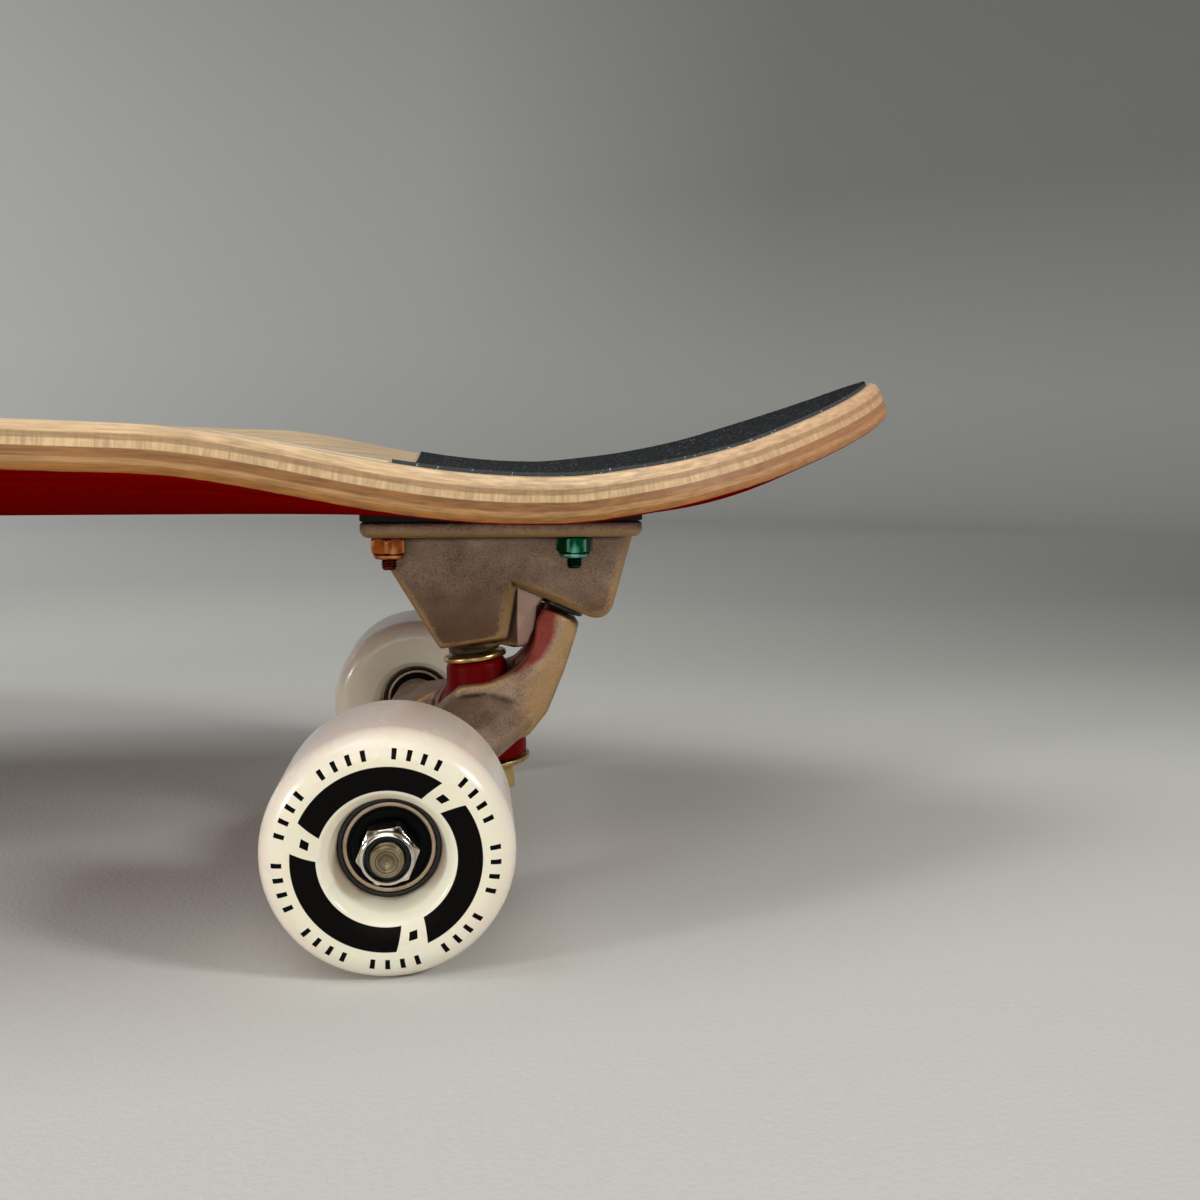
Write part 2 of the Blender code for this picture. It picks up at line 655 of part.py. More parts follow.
def pivot_cup_mesh():
    """A bullet-shaped cup with a lip under the baseplate's pivot face, open at the mouth."""
    inner = BALL_R + GAP
    outer = inner + CUP_WALL
    face_distance = (PIVOT_Z - pivot_face_z(PIVOT_X)) * math.cos(PIVOT_FACE_ANGLE)
    lip_top = -face_distance - GAP
    chamfer = 0.001
    profile = [(0.0, outer), (outer - chamfer, outer), (outer, outer - chamfer), (outer, lip_top),
               (CUP_LIP_R, lip_top), (CUP_LIP_R, lip_top - CUP_LIP_HEIGHT),
               (inner, lip_top - CUP_LIP_HEIGHT), (inner, 0.0)]
    steps = 3
    for i in range(1, steps + 1):
        turn = math.radians(90) * i / steps
        profile.append((inner * math.cos(turn) if i < steps else 0.0, inner * math.sin(turn)))
    return finished(turned("pivot_cup", profile, SMALL_STEPS, cup_frame()), "pivot_cup")


# Kingpin stack, each piece in the kingpin's frame

TOP_BUSHING_BOTTOM = RING_ABOVE + GAP
TOP_WASHER_BOTTOM = TOP_BUSHING_BOTTOM + TOP_BUSHING_HEIGHT + GAP
BOTTOM_BUSHING_TOP = -RING_BELOW - GAP
BOTTOM_WASHER_TOP = BOTTOM_BUSHING_TOP - BOTTOM_BUSHING_HEIGHT - GAP
KINGPIN_NUT_TOP = BOTTOM_WASHER_TOP - BOTTOM_WASHER_THICKNESS - GAP
KINGPIN_END = KINGPIN_NUT_TOP - KINGPIN_NUT_HEIGHT - KINGPIN_PAST_NUT


def kingpin_mesh():
    head_top = (FLANGE_TOP - RING_Z) / math.cos(KINGPIN_TILT) - KINGPIN_HEAD_DEPTH
    head_bottom = head_top - KINGPIN_HEAD_HEIGHT
    chamfer = 0.001
    profile = [(0.0, head_top), (KINGPIN_HEAD_R, head_top), (KINGPIN_HEAD_R, head_bottom),
               (KINGPIN_R, head_bottom), (KINGPIN_R, KINGPIN_END + chamfer),
               (KINGPIN_R - chamfer, KINGPIN_END), (0.0, KINGPIN_END)]
    return finished(turned("kingpin", profile, SMALL_STEPS), "kingpin")


def top_washer_mesh():
    profile = tube_profile(TOP_WASHER_R, KINGPIN_R + GAP, TOP_WASHER_BOTTOM + TOP_WASHER_THICKNESS,
                           TOP_WASHER_BOTTOM)
    return finished(turned("top_washer", profile), "top_washer")


def bottom_washer_mesh():
    profile = tube_profile(BOTTOM_WASHER_R, KINGPIN_R + GAP, BOTTOM_WASHER_TOP,
                           BOTTOM_WASHER_TOP - BOTTOM_WASHER_THICKNESS)
    return finished(turned("bottom_washer", profile), "bottom_washer")


def top_bushing_mesh():
    bottom = TOP_BUSHING_BOTTOM
    top = bottom + TOP_BUSHING_HEIGHT
    bore = KINGPIN_R + GAP
    profile = [(TOP_BUSHING_R, top), (BUSHING_R, bottom + BUSHING_SKIRT), (BUSHING_R, bottom), (bore, bottom),
               (bore, top)]
    return finished(turned("top_bushing", profile), "top_bushing")


def bottom_bushing_mesh():
    top = BOTTOM_BUSHING_TOP
    profile = tube_profile(BUSHING_R, KINGPIN_R + GAP, top, top - BOTTOM_BUSHING_HEIGHT, 0.0008)
    return finished(turned("bottom_bushing", profile), "bottom_bushing")


def kingpin_nut_mesh():
    nut = hex_nut("kingpin_nut", KINGPIN_NUT_ACROSS, KINGPIN_NUT_TOP - KINGPIN_NUT_HEIGHT,
                  KINGPIN_NUT_TOP, KINGPIN_R + GAP)
    return finished(nut, "kingpin_nut")


# Hanger

def body_outline():
    """Side outline of the hanger's middle: the ring's wall, the neck and its top under the pivot."""
    under = [kingpin_frame() @ Vector((x, 0, -RING_BELOW)) for x in RING_WALL_REACH]
    top = [cup_frame() @ Vector((x, 0, -CUP_MOUTH - NECK_TOP_GAP)) for x in NECK_TOP_REACH]
    inner_side = [(RING_X + x, RING_Z + z) for x, z in NECK_INNER_SIDE]
    outer_side = [(RING_X + x, RING_Z + z) for x, z in NECK_OUTER_SIDE]
    return [(under[1].x, under[1].z), *inner_side, (top[0].x, top[0].z), (top[1].x, top[1].z),
            *outer_side, (under[0].x, under[0].z)]


def wing(side):
    """A tapering arm from the hanger's middle out to the axle's tube, as the hull of its two ends."""
    root = [(RING_X + x, RING_Z + z) for x, z in WING_ROOT_AT_RING] + list(WING_ROOT_AT_AXLE)
    tip_r = WING_TUBE_R + 2 * GAP
    tip_y = HANGER_HALF_WIDTH - WING_TUBE_LENGTH
    work = bmesh.new()
    for x, z in root:
        work.verts.new((x, side * (BODY_HALF_WIDTH - WING_OVERLAP), z))
    for i in range(TURNED_STEPS):
        turn = 2 * math.pi * i / TURNED_STEPS
        work.verts.new((tip_r * math.cos(turn), side * tip_y, tip_r * math.sin(turn)))
    hull = bmesh.ops.convex_hull(work, input=work.verts)
    bmesh.ops.delete(work, geom=hull["geom_interior"], context="VERTS")
    bmesh.ops.recalc_face_normals(work, faces=work.faces)
    mesh = bpy.data.meshes.new("wing")
    work.to_mesh(mesh)
    work.free()
    return in_work("wing", mesh)


def along_axle():
    """The frame of what turns about the axle, with +Z along +Y."""
    return Matrix.Rotation(math.radians(-90), 4, "X")


def facet_down(steps):
    """Half a step round, so that a turned shape stands on a facet and not on an edge."""
    return Matrix.Rotation(math.pi / steps, 4, "Z")


def hanger_mesh():
    body = side_plate("hanger", body_outline(), 2 * BODY_HALF_WIDTH)
    taper = [(BODY_HALF_WIDTH, -CUT)] + [(y, z) for z, y in NECK_SIDES] + [(NECK_HALF_WIDTH, PIVOT_Z)]
    taper += [(-y, z) for y, z in reversed(taper)]
    plan = [(-CUT, BODY_HALF_WIDTH), (REAR_TAPER_X, BODY_HALF_WIDTH),
            (REAR_TAPER_X + REAR_TAPER_LENGTH, REAR_TAPER_HALF_WIDTH)]
    plan += [(x, -y) for x, y in reversed(plan)]
    body = combined(body, "INTERSECT", front_plate("taper", taper, WHEELBASE / 2),
                    filled_outline("plan", plan, WHEELBASE / 2))
    tube = cylinder("axle_tube", WING_TUBE_R, -HANGER_HALF_WIDTH, HANGER_HALF_WIDTH,
                    matrix=along_axle())
    web = cylinder("ring", BUSHING_CUP_R + 0.002, -RING_BELOW, RING_ABOVE, matrix=kingpin_frame())
    bore = cylinder("ring_bore", RING_BORE_R, -CUT, CUT, matrix=kingpin_frame())
    cup = cylinder("bushing_cup", BUSHING_CUP_R, RING_ABOVE, RING_ABOVE + CUT, matrix=kingpin_frame())
    room = cylinder("washer_room", WASHER_ROOM_R, -2 * CUT, -RING_BELOW, matrix=kingpin_frame())
    groove_x = NOTCH[0] + RIB_REACH
    groove = block("neck_groove", (groove_x - CUT, -NECK_GROOVE_HALF_WIDTH, RING_Z + BUSHING_CUP_R),
                   (groove_x + NECK_GROOVE_DEPTH, NECK_GROOVE_HALF_WIDTH, PIVOT_Z))
    body = combined(body, "UNION", wing(1), wing(-1), web, tube)
    body = combined(body, "DIFFERENCE", cup, room, groove, bore)
    pivot_distance = math.hypot(PIVOT_X - RING_X, PIVOT_Z - RING_Z)
    ball = [(0.0, pivot_distance + BALL_R)]
    for i in range(1, 6):
        turn = math.radians(90 - 26 * i)
        ball.append((BALL_R * math.cos(turn), pivot_distance + BALL_R * math.sin(turn)))
    ball += [(STEM_R, pivot_distance - CUP_MOUTH), (STEM_R, pivot_distance - STEM_LENGTH),
             (0.0, pivot_distance - STEM_LENGTH)]
    nose = turned("pivot_nose", ball, SMALL_STEPS, steer_frame())
    axle_bore = cylinder("axle_bore", AXLE_R + GAP, -HANGER_HALF_WIDTH - CUT, HANGER_HALF_WIDTH + CUT,
                         steps=BOLT_STEPS, matrix=along_axle())
    body = combined(body, "UNION", nose)
    return finished(combined(body, "DIFFERENCE", axle_bore), "hanger")


# Axle and wheels, each in a frame with +Z out along the axle

def axle_mesh():
    """The axle with what its nuts clamp on it at each end: speed washers, inner races and a spacer."""
    end = AXLE_NUT_Y + AXLE_NUT_HEIGHT + AXLE_NUT_COLLAR_HEIGHT + AXLE_PAST_NUT
    chamfer = 0.0008
    half = [(0.0, end), (AXLE_R - chamfer, end), (AXLE_R, end - chamfer),
            (AXLE_R, HUB_OUTER + SPEED_WASHER_THICKNESS), (SPEED_WASHER_R, HUB_OUTER + SPEED_WASHER_THICKNESS),
            (SPEED_WASHER_R, HUB_OUTER), (INNER_RACE_R, HUB_OUTER), (INNER_RACE_R, HUB_OUTER - BEARING_WIDTH),
            (SPACER_R, HUB_OUTER - BEARING_WIDTH), (SPACER_R, HUB_INNER + BEARING_WIDTH),
            (INNER_RACE_R, HUB_INNER + BEARING_WIDTH), (INNER_RACE_R, HUB_INNER), (SPEED_WASHER_R, HUB_INNER),
            (SPEED_WASHER_R, HUB_INNER - SPEED_WASHER_THICKNESS),
            (AXLE_R, HUB_INNER - SPEED_WASHER_THICKNESS)]
    profile = half + [(radius, -height) for radius, height in reversed(half)]
    return finished(turned("axle", profile, BOLT_STEPS, along_axle()), "axle")


def axle_nut_mesh():
    """Across the flats of a plain nut, with the nylon collar on its outer side. +Z is inward here."""
    height = AXLE_NUT_HEIGHT + AXLE_NUT_COLLAR_HEIGHT
    nut = hex_nut("axle_nut", AXLE_NUT_ACROSS, -height, 0.0, AXLE_R + GAP, AXLE_NUT_COLLAR_R,
                  AXLE_NUT_COLLAR_HEIGHT)
    return finished(nut, "axle_nut")


def tyre_mesh():
    """The urethane, with a flat tread, round shoulders and sides that dip to the hub."""
    half = WHEEL_WIDTH / 2
    tread = TREAD_WIDTH / 2
    hub = HUB_WIDTH / 2
    inner = BEARING_R + GAP + CORE_WALL + GAP
    steps = 2
    outer = [(inner, hub), (DISH_R, half - DISH_STEP), (SIDE_EDGE_R, half)]
    for i in range(1, steps + 1):
        turn = math.radians(90) * i / steps
        outer.append((SIDE_EDGE_R + (WHEEL_R - SIDE_EDGE_R) * math.sin(turn),
                      tread + (half - tread) * math.cos(turn)))
    profile = outer + [(radius, -height) for radius, height in reversed(outer)]
    shape = turned("tyre", profile, WHEEL_STEPS, along_axle() @ facet_down(WHEEL_STEPS))
    return finished(shape, "tyre")


def core_mesh():
    """The hard ring that holds both bearings, with a web between them."""
    outer = BEARING_R + GAP + CORE_WALL
    hub = HUB_WIDTH / 2
    web = hub - BEARING_WIDTH - GAP
    seat = BEARING_R + GAP
    profile = [(outer, hub), (outer, -hub), (seat, -hub), (seat, -web), (CORE_WEB_R, -web),
               (CORE_WEB_R, web), (seat, web), (seat, hub)]
    return finished(turned("core", profile, SMALL_STEPS, along_axle()), "core")


def bearing_mesh():
    """A bearing's outer race with its seal. The inner race is clamped on the axle."""
    inner = INNER_RACE_R + GAP
    half = BEARING_WIDTH / 2
    profile = tube_profile(BEARING_R, inner, half, -half)
    return finished(turned("bearing", profile, SMALL_STEPS, along_axle()), "bearing")


# Bolts, in a frame with the origin at the deck's top face

def mount_bolt_mesh():
    nut_bottom = -(DECK_THICKNESS + GAP + PAD_THICKNESS + GAP + FLANGE_THICKNESS + GAP + MOUNT_NUT_HEIGHT)
    end = nut_bottom - BOLT_BELOW_NUT
    sink = BOLT_HEAD_R - BOLT_R
    profile = [(0.0, 0.0), (BOLT_HEAD_R, 0.0), (BOLT_R, -sink), (BOLT_R, end + 0.0005),
               (BOLT_R - 0.0005, end), (0.0, end)]
    return finished(turned("mount_bolt", profile, BOLT_STEPS), "mount_bolt")


def mount_nut_mesh():
    top = -(DECK_THICKNESS + GAP + PAD_THICKNESS + GAP + FLANGE_THICKNESS + GAP)
    nut = hexagon("mount_nut", MOUNT_NUT_ACROSS, top - MOUNT_NUT_HEIGHT, top)
    bore = cylinder("nut_bore", BOLT_R + GAP, top - CUT, top + CUT, BOLT_STEPS)
    return finished(combined(nut, "DIFFERENCE", bore), "mount_nut")


# Materials

MAPLE = new_material("maple", (0.52, 0.33, 0.17), 0.45)
GRIP = new_material("grip", (0.02, 0.02, 0.022), 0.9)
RISER = new_material("riser", (0.015, 0.015, 0.016), 0.7)
BRONZE_CASTING = new_material("bronze_casting", (0.22, 0.16, 0.11), 0.5, 0.8)
CUP_PLASTIC = new_material("cup_plastic", (0.01, 0.01, 0.012), 0.4)
GOLD_STEEL = new_material("gold_steel", (0.55, 0.40, 0.20), 0.35, 1.0)
DARK_STEEL = new_material("dark_steel", (0.20, 0.19, 0.18), 0.35, 1.0)
RED_URETHANE = new_material("red_urethane", (0.22, 0.01, 0.01), 0.35)
AXLE_STEEL = new_material("axle_steel", (0.45, 0.43, 0.40), 0.3, 1.0)
CHROME = new_material("chrome", (0.60, 0.58, 0.55), 0.15, 1.0)
CREAM_URETHANE = new_material("cream_urethane", (0.85, 0.80, 0.68), 0.25)
CORE_PLASTIC = new_material("core_plastic", (0.012, 0.012, 0.014), 0.3)
BEARING_SEAL = new_material("bearing_seal", (0.02, 0.025, 0.04), 0.35)
BOLT_STEEL = new_material("bolt_steel", (0.30, 0.28, 0.26), 0.35, 1.0)
COPPER_ANODISED = new_material("copper_anodised", (0.60, 0.20, 0.06), 0.3, 1.0)
GREEN_ANODISED = new_material("green_anodised", (0.02, 0.30, 0.12), 0.3, 1.0)
BLUE_ANODISED = new_material("blue_anodised", (0.04, 0.12, 0.45), 0.3, 1.0)
VIOLET_ANODISED = new_material("violet_anodised", (0.22, 0.06, 0.40), 0.3, 1.0)

NUT_FINISHES = {("left", "inner"): COPPER_ANODISED, ("left", "outer"): GREEN_ANODISED,
                ("right", "inner"): BLUE_ANODISED, ("right", "outer"): VIOLET_ANODISED}


# Assembly

def add_deck(board):
    piece("deck", deck_mesh(), MAPLE, Matrix.Identity(4), board)
    piece("tail_grip", grip_mesh(), GRIP, Matrix.Identity(4), board)


def add_bolts(truck, board, bolt, nut):
    for side, row, x, y in bolt_places(truck):
        spot = truck.matrix @ Vector((x, y, 0))
        at = Matrix.Translation((spot.x, spot.y, DECK_TOP))
        piece(f"{truck.name}_{side}_{row}_bolt", bolt, BOLT_STEEL, at, board)
        piece(f"{truck.name}_{side}_{row}_nut", nut, NUT_FINISHES[side, row], at, board)


def add_mounting(truck, board, meshes):
    """What stays still on the board when the truck steers."""
    on_kingpin = truck.matrix @ kingpin_frame()
    still = (("riser_pad", RISER, truck.matrix), ("baseplate", BRONZE_CASTING, truck.matrix),
             ("pivot_cup", CUP_PLASTIC, truck.matrix), ("kingpin", DARK_STEEL, on_kingpin),
             ("top_washer", GOLD_STEEL, on_kingpin), ("top_bushing", RED_URETHANE, on_kingpin),
             ("bottom_bushing", RED_URETHANE, on_kingpin), ("bottom_washer", GOLD_STEEL, on_kingpin),
             ("kingpin_nut", GOLD_STEEL, on_kingpin))
    for name, material, matrix in still:
        piece(f"{truck.name}_{name}", meshes[name], material, matrix, board)


def add_wheel(truck, side, y, steer, meshes):
    """A wheel on its own empty, on the axle's line, and the nut that keeps it."""
    outward = 1 if y > 0 else -1
    name = f"{truck.name}_{side}"
    hub = truck.matrix @ Matrix.Translation((0, y, 0))
    spin = new_empty(f"{name}_spin", hub, steer)
    piece(f"{name}_tyre", meshes["tyre"], CREAM_URETHANE, hub, spin)
    piece(f"{name}_core", meshes["core"], CORE_PLASTIC, hub, spin)
    for place_name, sign in (("inner", -1), ("outer", 1)):
        shift = sign * outward * (HUB_WIDTH - BEARING_WIDTH) / 2
        piece(f"{name}_{place_name}_bearing", meshes["bearing"], BEARING_SEAL,
              hub @ Matrix.Translation((0, shift, 0)), spin)
    nut_place = truck.matrix @ Matrix.Translation((0, outward * AXLE_NUT_Y, 0))
    facing = Matrix.Rotation(math.radians(90) * outward, 4, "X")
    piece(f"{name}_axle_nut", meshes["axle_nut"], CHROME, nut_place @ facing, steer)


def add_steering(truck, board, meshes):
    """What turns with the hanger, on an empty that lies along the steering axis."""
    steer = new_empty(f"{truck.name}_steer", truck.matrix @ steer_frame(), board)
    piece(f"{truck.name}_hanger", meshes["hanger"], BRONZE_CASTING, truck.matrix, steer)
    piece(f"{truck.name}_axle", meshes["axle"], AXLE_STEEL, truck.matrix, steer)
    for side, y in (("left", -WHEEL_Y), ("right", WHEEL_Y)):
        add_wheel(truck, side, y * truck.side_sign, steer, meshes)


def stand_on_origin(board):
    """Moves the board so that the origin lies on the floor, under the middle of its box."""
    bpy.context.view_layer.update()
    graph = bpy.context.evaluated_depsgraph_get()
    corners = []
    for obj in BOARD.objects:
        if obj.type == "MESH":
            seen = obj.evaluated_get(graph)
            corners += [seen.matrix_world @ vertex.co for vertex in seen.data.vertices]
    low = Vector([min(corner[i] for corner in corners) for i in range(3)])
    high = Vector([max(corner[i] for corner in corners) for i in range(3)])
    board.location = (-(low.x + high.x) / 2, -(low.y + high.y) / 2, -low.z)


def build():
    meshes = {"riser_pad": riser_pad_mesh(), "baseplate": baseplate_mesh(), "pivot_cup": pivot_cup_mesh(),
              "kingpin": kingpin_mesh(), "top_washer": top_washer_mesh(),
              "top_bushing": top_bushing_mesh(), "bottom_bushing": bottom_bushing_mesh(),
              "bottom_washer": bottom_washer_mesh(), "kingpin_nut": kingpin_nut_mesh(),
              "hanger": hanger_mesh(), "axle": axle_mesh(), "axle_nut": axle_nut_mesh(),
              "tyre": tyre_mesh(), "core": core_mesh(), "bearing": bearing_mesh()}
    bolt = mount_bolt_mesh()
    nut = mount_nut_mesh()
    board = new_empty("board", Matrix.Identity(4))
    add_deck(board)
    for truck in TRUCKS:
        add_mounting(truck, board, meshes)
        add_bolts(truck, board, bolt, nut)
        add_steering(truck, board, meshes)
    stand_on_origin(board)


build()
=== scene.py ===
"""Looks of a surfskate: a pressed seven-ply deck on two cast carving trucks with urethane wheels.

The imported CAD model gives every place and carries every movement. Each sub-assembly below is a class
that reads its place from that frame, builds finer meshes for its pieces and dresses them. Metres, +Z up,
the tail to +X and the near side to -Y. A truck's pieces are made in its own frame: origin in the middle
of the axle, the kingpin towards +X and the wheels' axis along Y.
"""

import logging
import math
from dataclasses import dataclass
from enum import Enum
from functools import cache
from typing import Callable, Sequence

import bmesh
import bpy
import numpy as np
from mathutils import Matrix, Vector


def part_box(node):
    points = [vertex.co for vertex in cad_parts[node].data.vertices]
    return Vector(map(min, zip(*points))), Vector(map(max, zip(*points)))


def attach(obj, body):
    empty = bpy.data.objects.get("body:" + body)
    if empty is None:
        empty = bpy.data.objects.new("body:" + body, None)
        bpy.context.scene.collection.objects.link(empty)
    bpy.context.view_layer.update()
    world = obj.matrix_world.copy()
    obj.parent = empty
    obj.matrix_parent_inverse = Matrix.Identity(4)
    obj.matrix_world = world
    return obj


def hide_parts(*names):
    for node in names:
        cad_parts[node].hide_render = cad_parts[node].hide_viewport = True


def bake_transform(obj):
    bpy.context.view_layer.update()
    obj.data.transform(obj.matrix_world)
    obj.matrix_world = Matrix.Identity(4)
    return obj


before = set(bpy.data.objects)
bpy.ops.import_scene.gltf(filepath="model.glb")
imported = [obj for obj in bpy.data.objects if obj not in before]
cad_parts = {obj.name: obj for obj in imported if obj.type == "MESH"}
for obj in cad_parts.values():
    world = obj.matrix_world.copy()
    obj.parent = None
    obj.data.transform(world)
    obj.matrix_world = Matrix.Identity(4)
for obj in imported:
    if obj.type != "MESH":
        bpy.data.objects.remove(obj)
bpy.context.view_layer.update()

LOG = logging.getLogger("surfskate")
MM = 0.001
GAP = 0.3 * MM                  # between pieces that touch
SAME = 1e-7                     # points nearer than this are made one

Colour = tuple[float, float, float]
Corner = tuple[float, ...]      # (radius or x, height or z), and a fillet's radius if it has one


class Side(Enum):
    """The two ends of a truck's axle, by the sign of Y in the board's frame."""

    LEFT = -1
    RIGHT = 1


class Row(Enum):
    """The two rows of a truck's bolts."""

    INNER = "inner"
    OUTER = "outer"


def screen(red: int, green: int, blue: int) -> Colour:
    """The linear colour of three screen values.

    Args:
        red: Screen value from 0 to 255, as are green and blue.
        green: Screen value.
        blue: Screen value.

    Returns:
        The colour as linear shares.
    """
    shares = (value / 255 for value in (red, green, blue))
    return tuple(s / 12.92 if s <= 0.04045 else ((s + 0.055) / 1.055) ** 2.4 for s in shares)


# Meshes


def filleted(corners: Sequence[Corner], closed: bool = True, steps: int = 4) -> list[tuple[float, float]]:
    """Rounds the corners of a flat line that have a third number, which is the arc's radius.

    Args:
        corners: The line's corners.
        closed: Whether the last corner joins the first.
        steps: Pieces of each arc.

    Returns:
        The line's points.
    """
    points: list[tuple[float, float]] = []
    count = len(corners)
    for i, corner in enumerate(corners):
        here = np.array(corner[:2])
        end = not closed and i in (0, count - 1)
        if len(corner) < 3 or corner[2] <= 0 or end:
            points.append((here[0], here[1]))
            continue
        back = np.array(corners[i - 1][:2]) - here
        ahead = np.array(corners[(i + 1) % count][:2]) - here
        nearly_half = 0.49      # of an edge, so that two arcs on it never meet
        room = nearly_half * min(np.hypot(*back), np.hypot(*ahead))
        back = back / np.hypot(*back)
        ahead = ahead / np.hypot(*ahead)
        half = math.acos(float(np.clip(back @ ahead, -1, 1))) / 2
        reach = min(corner[2] / math.tan(half), room)
        radius = reach * math.tan(half)
        centre = here + (back + ahead) / np.hypot(*(back + ahead)) * radius / math.sin(half)
        first = here + back * reach - centre
        turn = math.atan2(*(here + ahead * reach - centre)[::-1]) - math.atan2(*first[::-1])
        turn = (turn + math.pi) % (2 * math.pi) - math.pi
        for k in range(steps + 1):
            c, s = math.cos(turn * k / steps), math.sin(turn * k / steps)
            points.append((centre[0] + c * first[0] - s * first[1],
                           centre[1] + s * first[0] + c * first[1]))
    return points


def ramp(past: np.ndarray, width: float) -> np.ndarray:
    """Rises from 0 to 1 over a width past a border."""
    return np.clip(past / width, 0, 1)


def mesh_of(name: str, work: bmesh.types.BMesh) -> bpy.types.Mesh:
    """Turns a work mesh into a mesh of that name, and frees it.

    Args:
        name: The mesh's name.
        work: The work mesh.

    Returns:
        The mesh.
    """
    mesh = bpy.data.meshes.new(name)
    work.to_mesh(mesh)
    work.free()
    return mesh


def stacked(rings: np.ndarray, closed: bool) -> bmesh.types.BMesh:
    """Quads from each ring to the next.

    Args:
        rings: Points of shape (rings, points of a ring, 3).
        closed: Whether the last ring joins the first.

    Returns:
        The work mesh, in which points at one place are one.
    """
    count, steps = rings.shape[:2]
    work = bmesh.new()
    verts = [work.verts.new(p) for p in rings.reshape(-1, 3)]
    for i in range(count if closed else count - 1):
        for j in range(steps):
            a, b = i * steps + j, i * steps + (j + 1) % steps
            below = (i + 1) % count * steps - i * steps
            work.faces.new((verts[a], verts[b], verts[b + below], verts[a + below]))
    bmesh.ops.remove_doubles(work, verts=work.verts, dist=SAME)
    return work


def woven(name: str, rings: np.ndarray, closed: bool = False, sharp: float = 35.0) -> bpy.types.Mesh:
    """A closed skin over a stack of rings.

    Args:
        name: The mesh's name.
        rings: Points of shape (rings, points of a ring, 3). A ring may shrink to a point or a line.
        closed: Whether the last ring joins the first.
        sharp: Edges that turn by more degrees than this stay sharp.

    Returns:
        The mesh, shaded smooth.
    """
    work = stacked(rings, closed)
    if not closed:
        bmesh.ops.holes_fill(work, edges=[e for e in work.edges if e.is_boundary])
    bmesh.ops.recalc_face_normals(work, faces=work.faces)
    mesh = mesh_of(name, work)
    mesh.shade_smooth()
    mesh.set_sharp_from_angle(angle=math.radians(sharp))
    return mesh


def spun(line: np.ndarray, steps: int) -> np.ndarray:
    """The rings of a flat line turned about Z.

    Args:
        line: Rows of radius and height.
        steps: Points of each ring.

    Returns:
        Points of shape (rows, steps, 3).
    """
    angles = np.linspace(0, 2 * math.pi, steps, endpoint=False)
    return np.stack([np.outer(line[:, 0], np.cos(angles)), np.outer(line[:, 0], np.sin(angles)),
                     np.repeat(line[:, 1:2], steps, axis=1)], axis=2)


def turned(name: str, corners: Sequence[Corner], steps: int = 72, sharp: float = 35.0) -> bpy.types.Mesh:
    """A profile of (radius, height, fillet) turned about Z.

    Args:
        name: The mesh's name.
        corners: The profile. It starts and ends on the axis, or is a closed loop off it.
        steps: Steps round the axis.
        sharp: Edges that turn by more degrees than this stay sharp.

    Returns:
        The mesh.
    """
    loop = min(corner[0] for corner in corners) > 0
    return woven(name, spun(np.array(filleted(corners, closed=loop)), steps), closed=loop, sharp=sharp)


def mirrored(half: list[Corner]) -> list[Corner]:
    """A profile's outer half, followed by its mirror image below."""
    return half + [(r, -z, *rest) for r, z, *rest in reversed(half)]


def round_rod(name: str, heights: np.ndarray, radius: Callable[[np.ndarray, np.ndarray], np.ndarray],
              steps: int = 36, tail: Sequence[tuple[float, float]] = (),
              sharp: float = 35.0) -> bpy.types.Mesh:
    """A solid about Z whose radius depends on the angle and the height.

    Args:
        name: The mesh's name.
        heights: The rings' heights.
        radius: Gives the radii for arrays of angles and heights.
        steps: Steps round the axis.
        tail: Plain rings, as (radius, height), that close the skin from the last ring back to the first.
            Without them both ends are closed flat.
        sharp: Edges that turn by more degrees than this stay sharp.

    Returns:
        The mesh.
    """
    angles = np.linspace(0, 2 * math.pi, steps, endpoint=False)
    turn, height = np.meshgrid(angles, heights)
    reach = radius(turn, height)
    for r, z in tail:
        reach = np.vstack([reach, np.full(steps, r)])
        height = np.vstack([height, np.full(steps, z)])
        turn = np.vstack([turn, angles])
    rings = np.stack([reach * np.cos(turn), reach * np.sin(turn), height], axis=2)
    return woven(name, rings, closed=bool(tail), sharp=sharp)


def screw_wave(turn: np.ndarray, height: np.ndarray, pitch: float) -> np.ndarray:
    """A thread's cut, from 0 to 1, at arrays of angles and heights."""
    return np.abs(2 * ((height / pitch - turn / (2 * math.pi)) % 1.0) - 1)


def thread(name: str, radius: float, low: float, high: float, plain: float, pitch: float) -> bpy.types.Mesh:
    """A rod about Z with a cut thread on its lower part and a chamfer on its lower end.

    Args:
        name: The mesh's name.
        radius: Over the thread.
        low: Height of the threaded end.
        high: Height of the plain end.
        plain: Height where the thread runs out.
        pitch: Of the thread.

    Returns:
        The mesh.
    """
    rows = 8                    # for each turn
    depth = 0.55 * pitch
    chamfer = 1.2 * pitch
    tip_slope = 0.7
    threaded = np.arange(low, plain, pitch / rows)
    heights = np.append(threaded, [plain, high])

    def reach(turn: np.ndarray, height: np.ndarray) -> np.ndarray:
        """The rod's radius at arrays of angles and heights."""
        cut = depth * screw_wave(turn, height, pitch) * ramp(plain - height, pitch)
        tip = np.clip(chamfer - (height - low), 0, chamfer) * tip_slope
        return np.minimum(radius - cut, radius - tip)

    made = round_rod(name, heights, reach, steps=30, sharp=60)
    places = points_of(made)
    # Painted shade in the thread's grooves.
    mark(made, "hollow", ramp(radius - np.hypot(places[:, 0], places[:, 1]), depth))
    return made


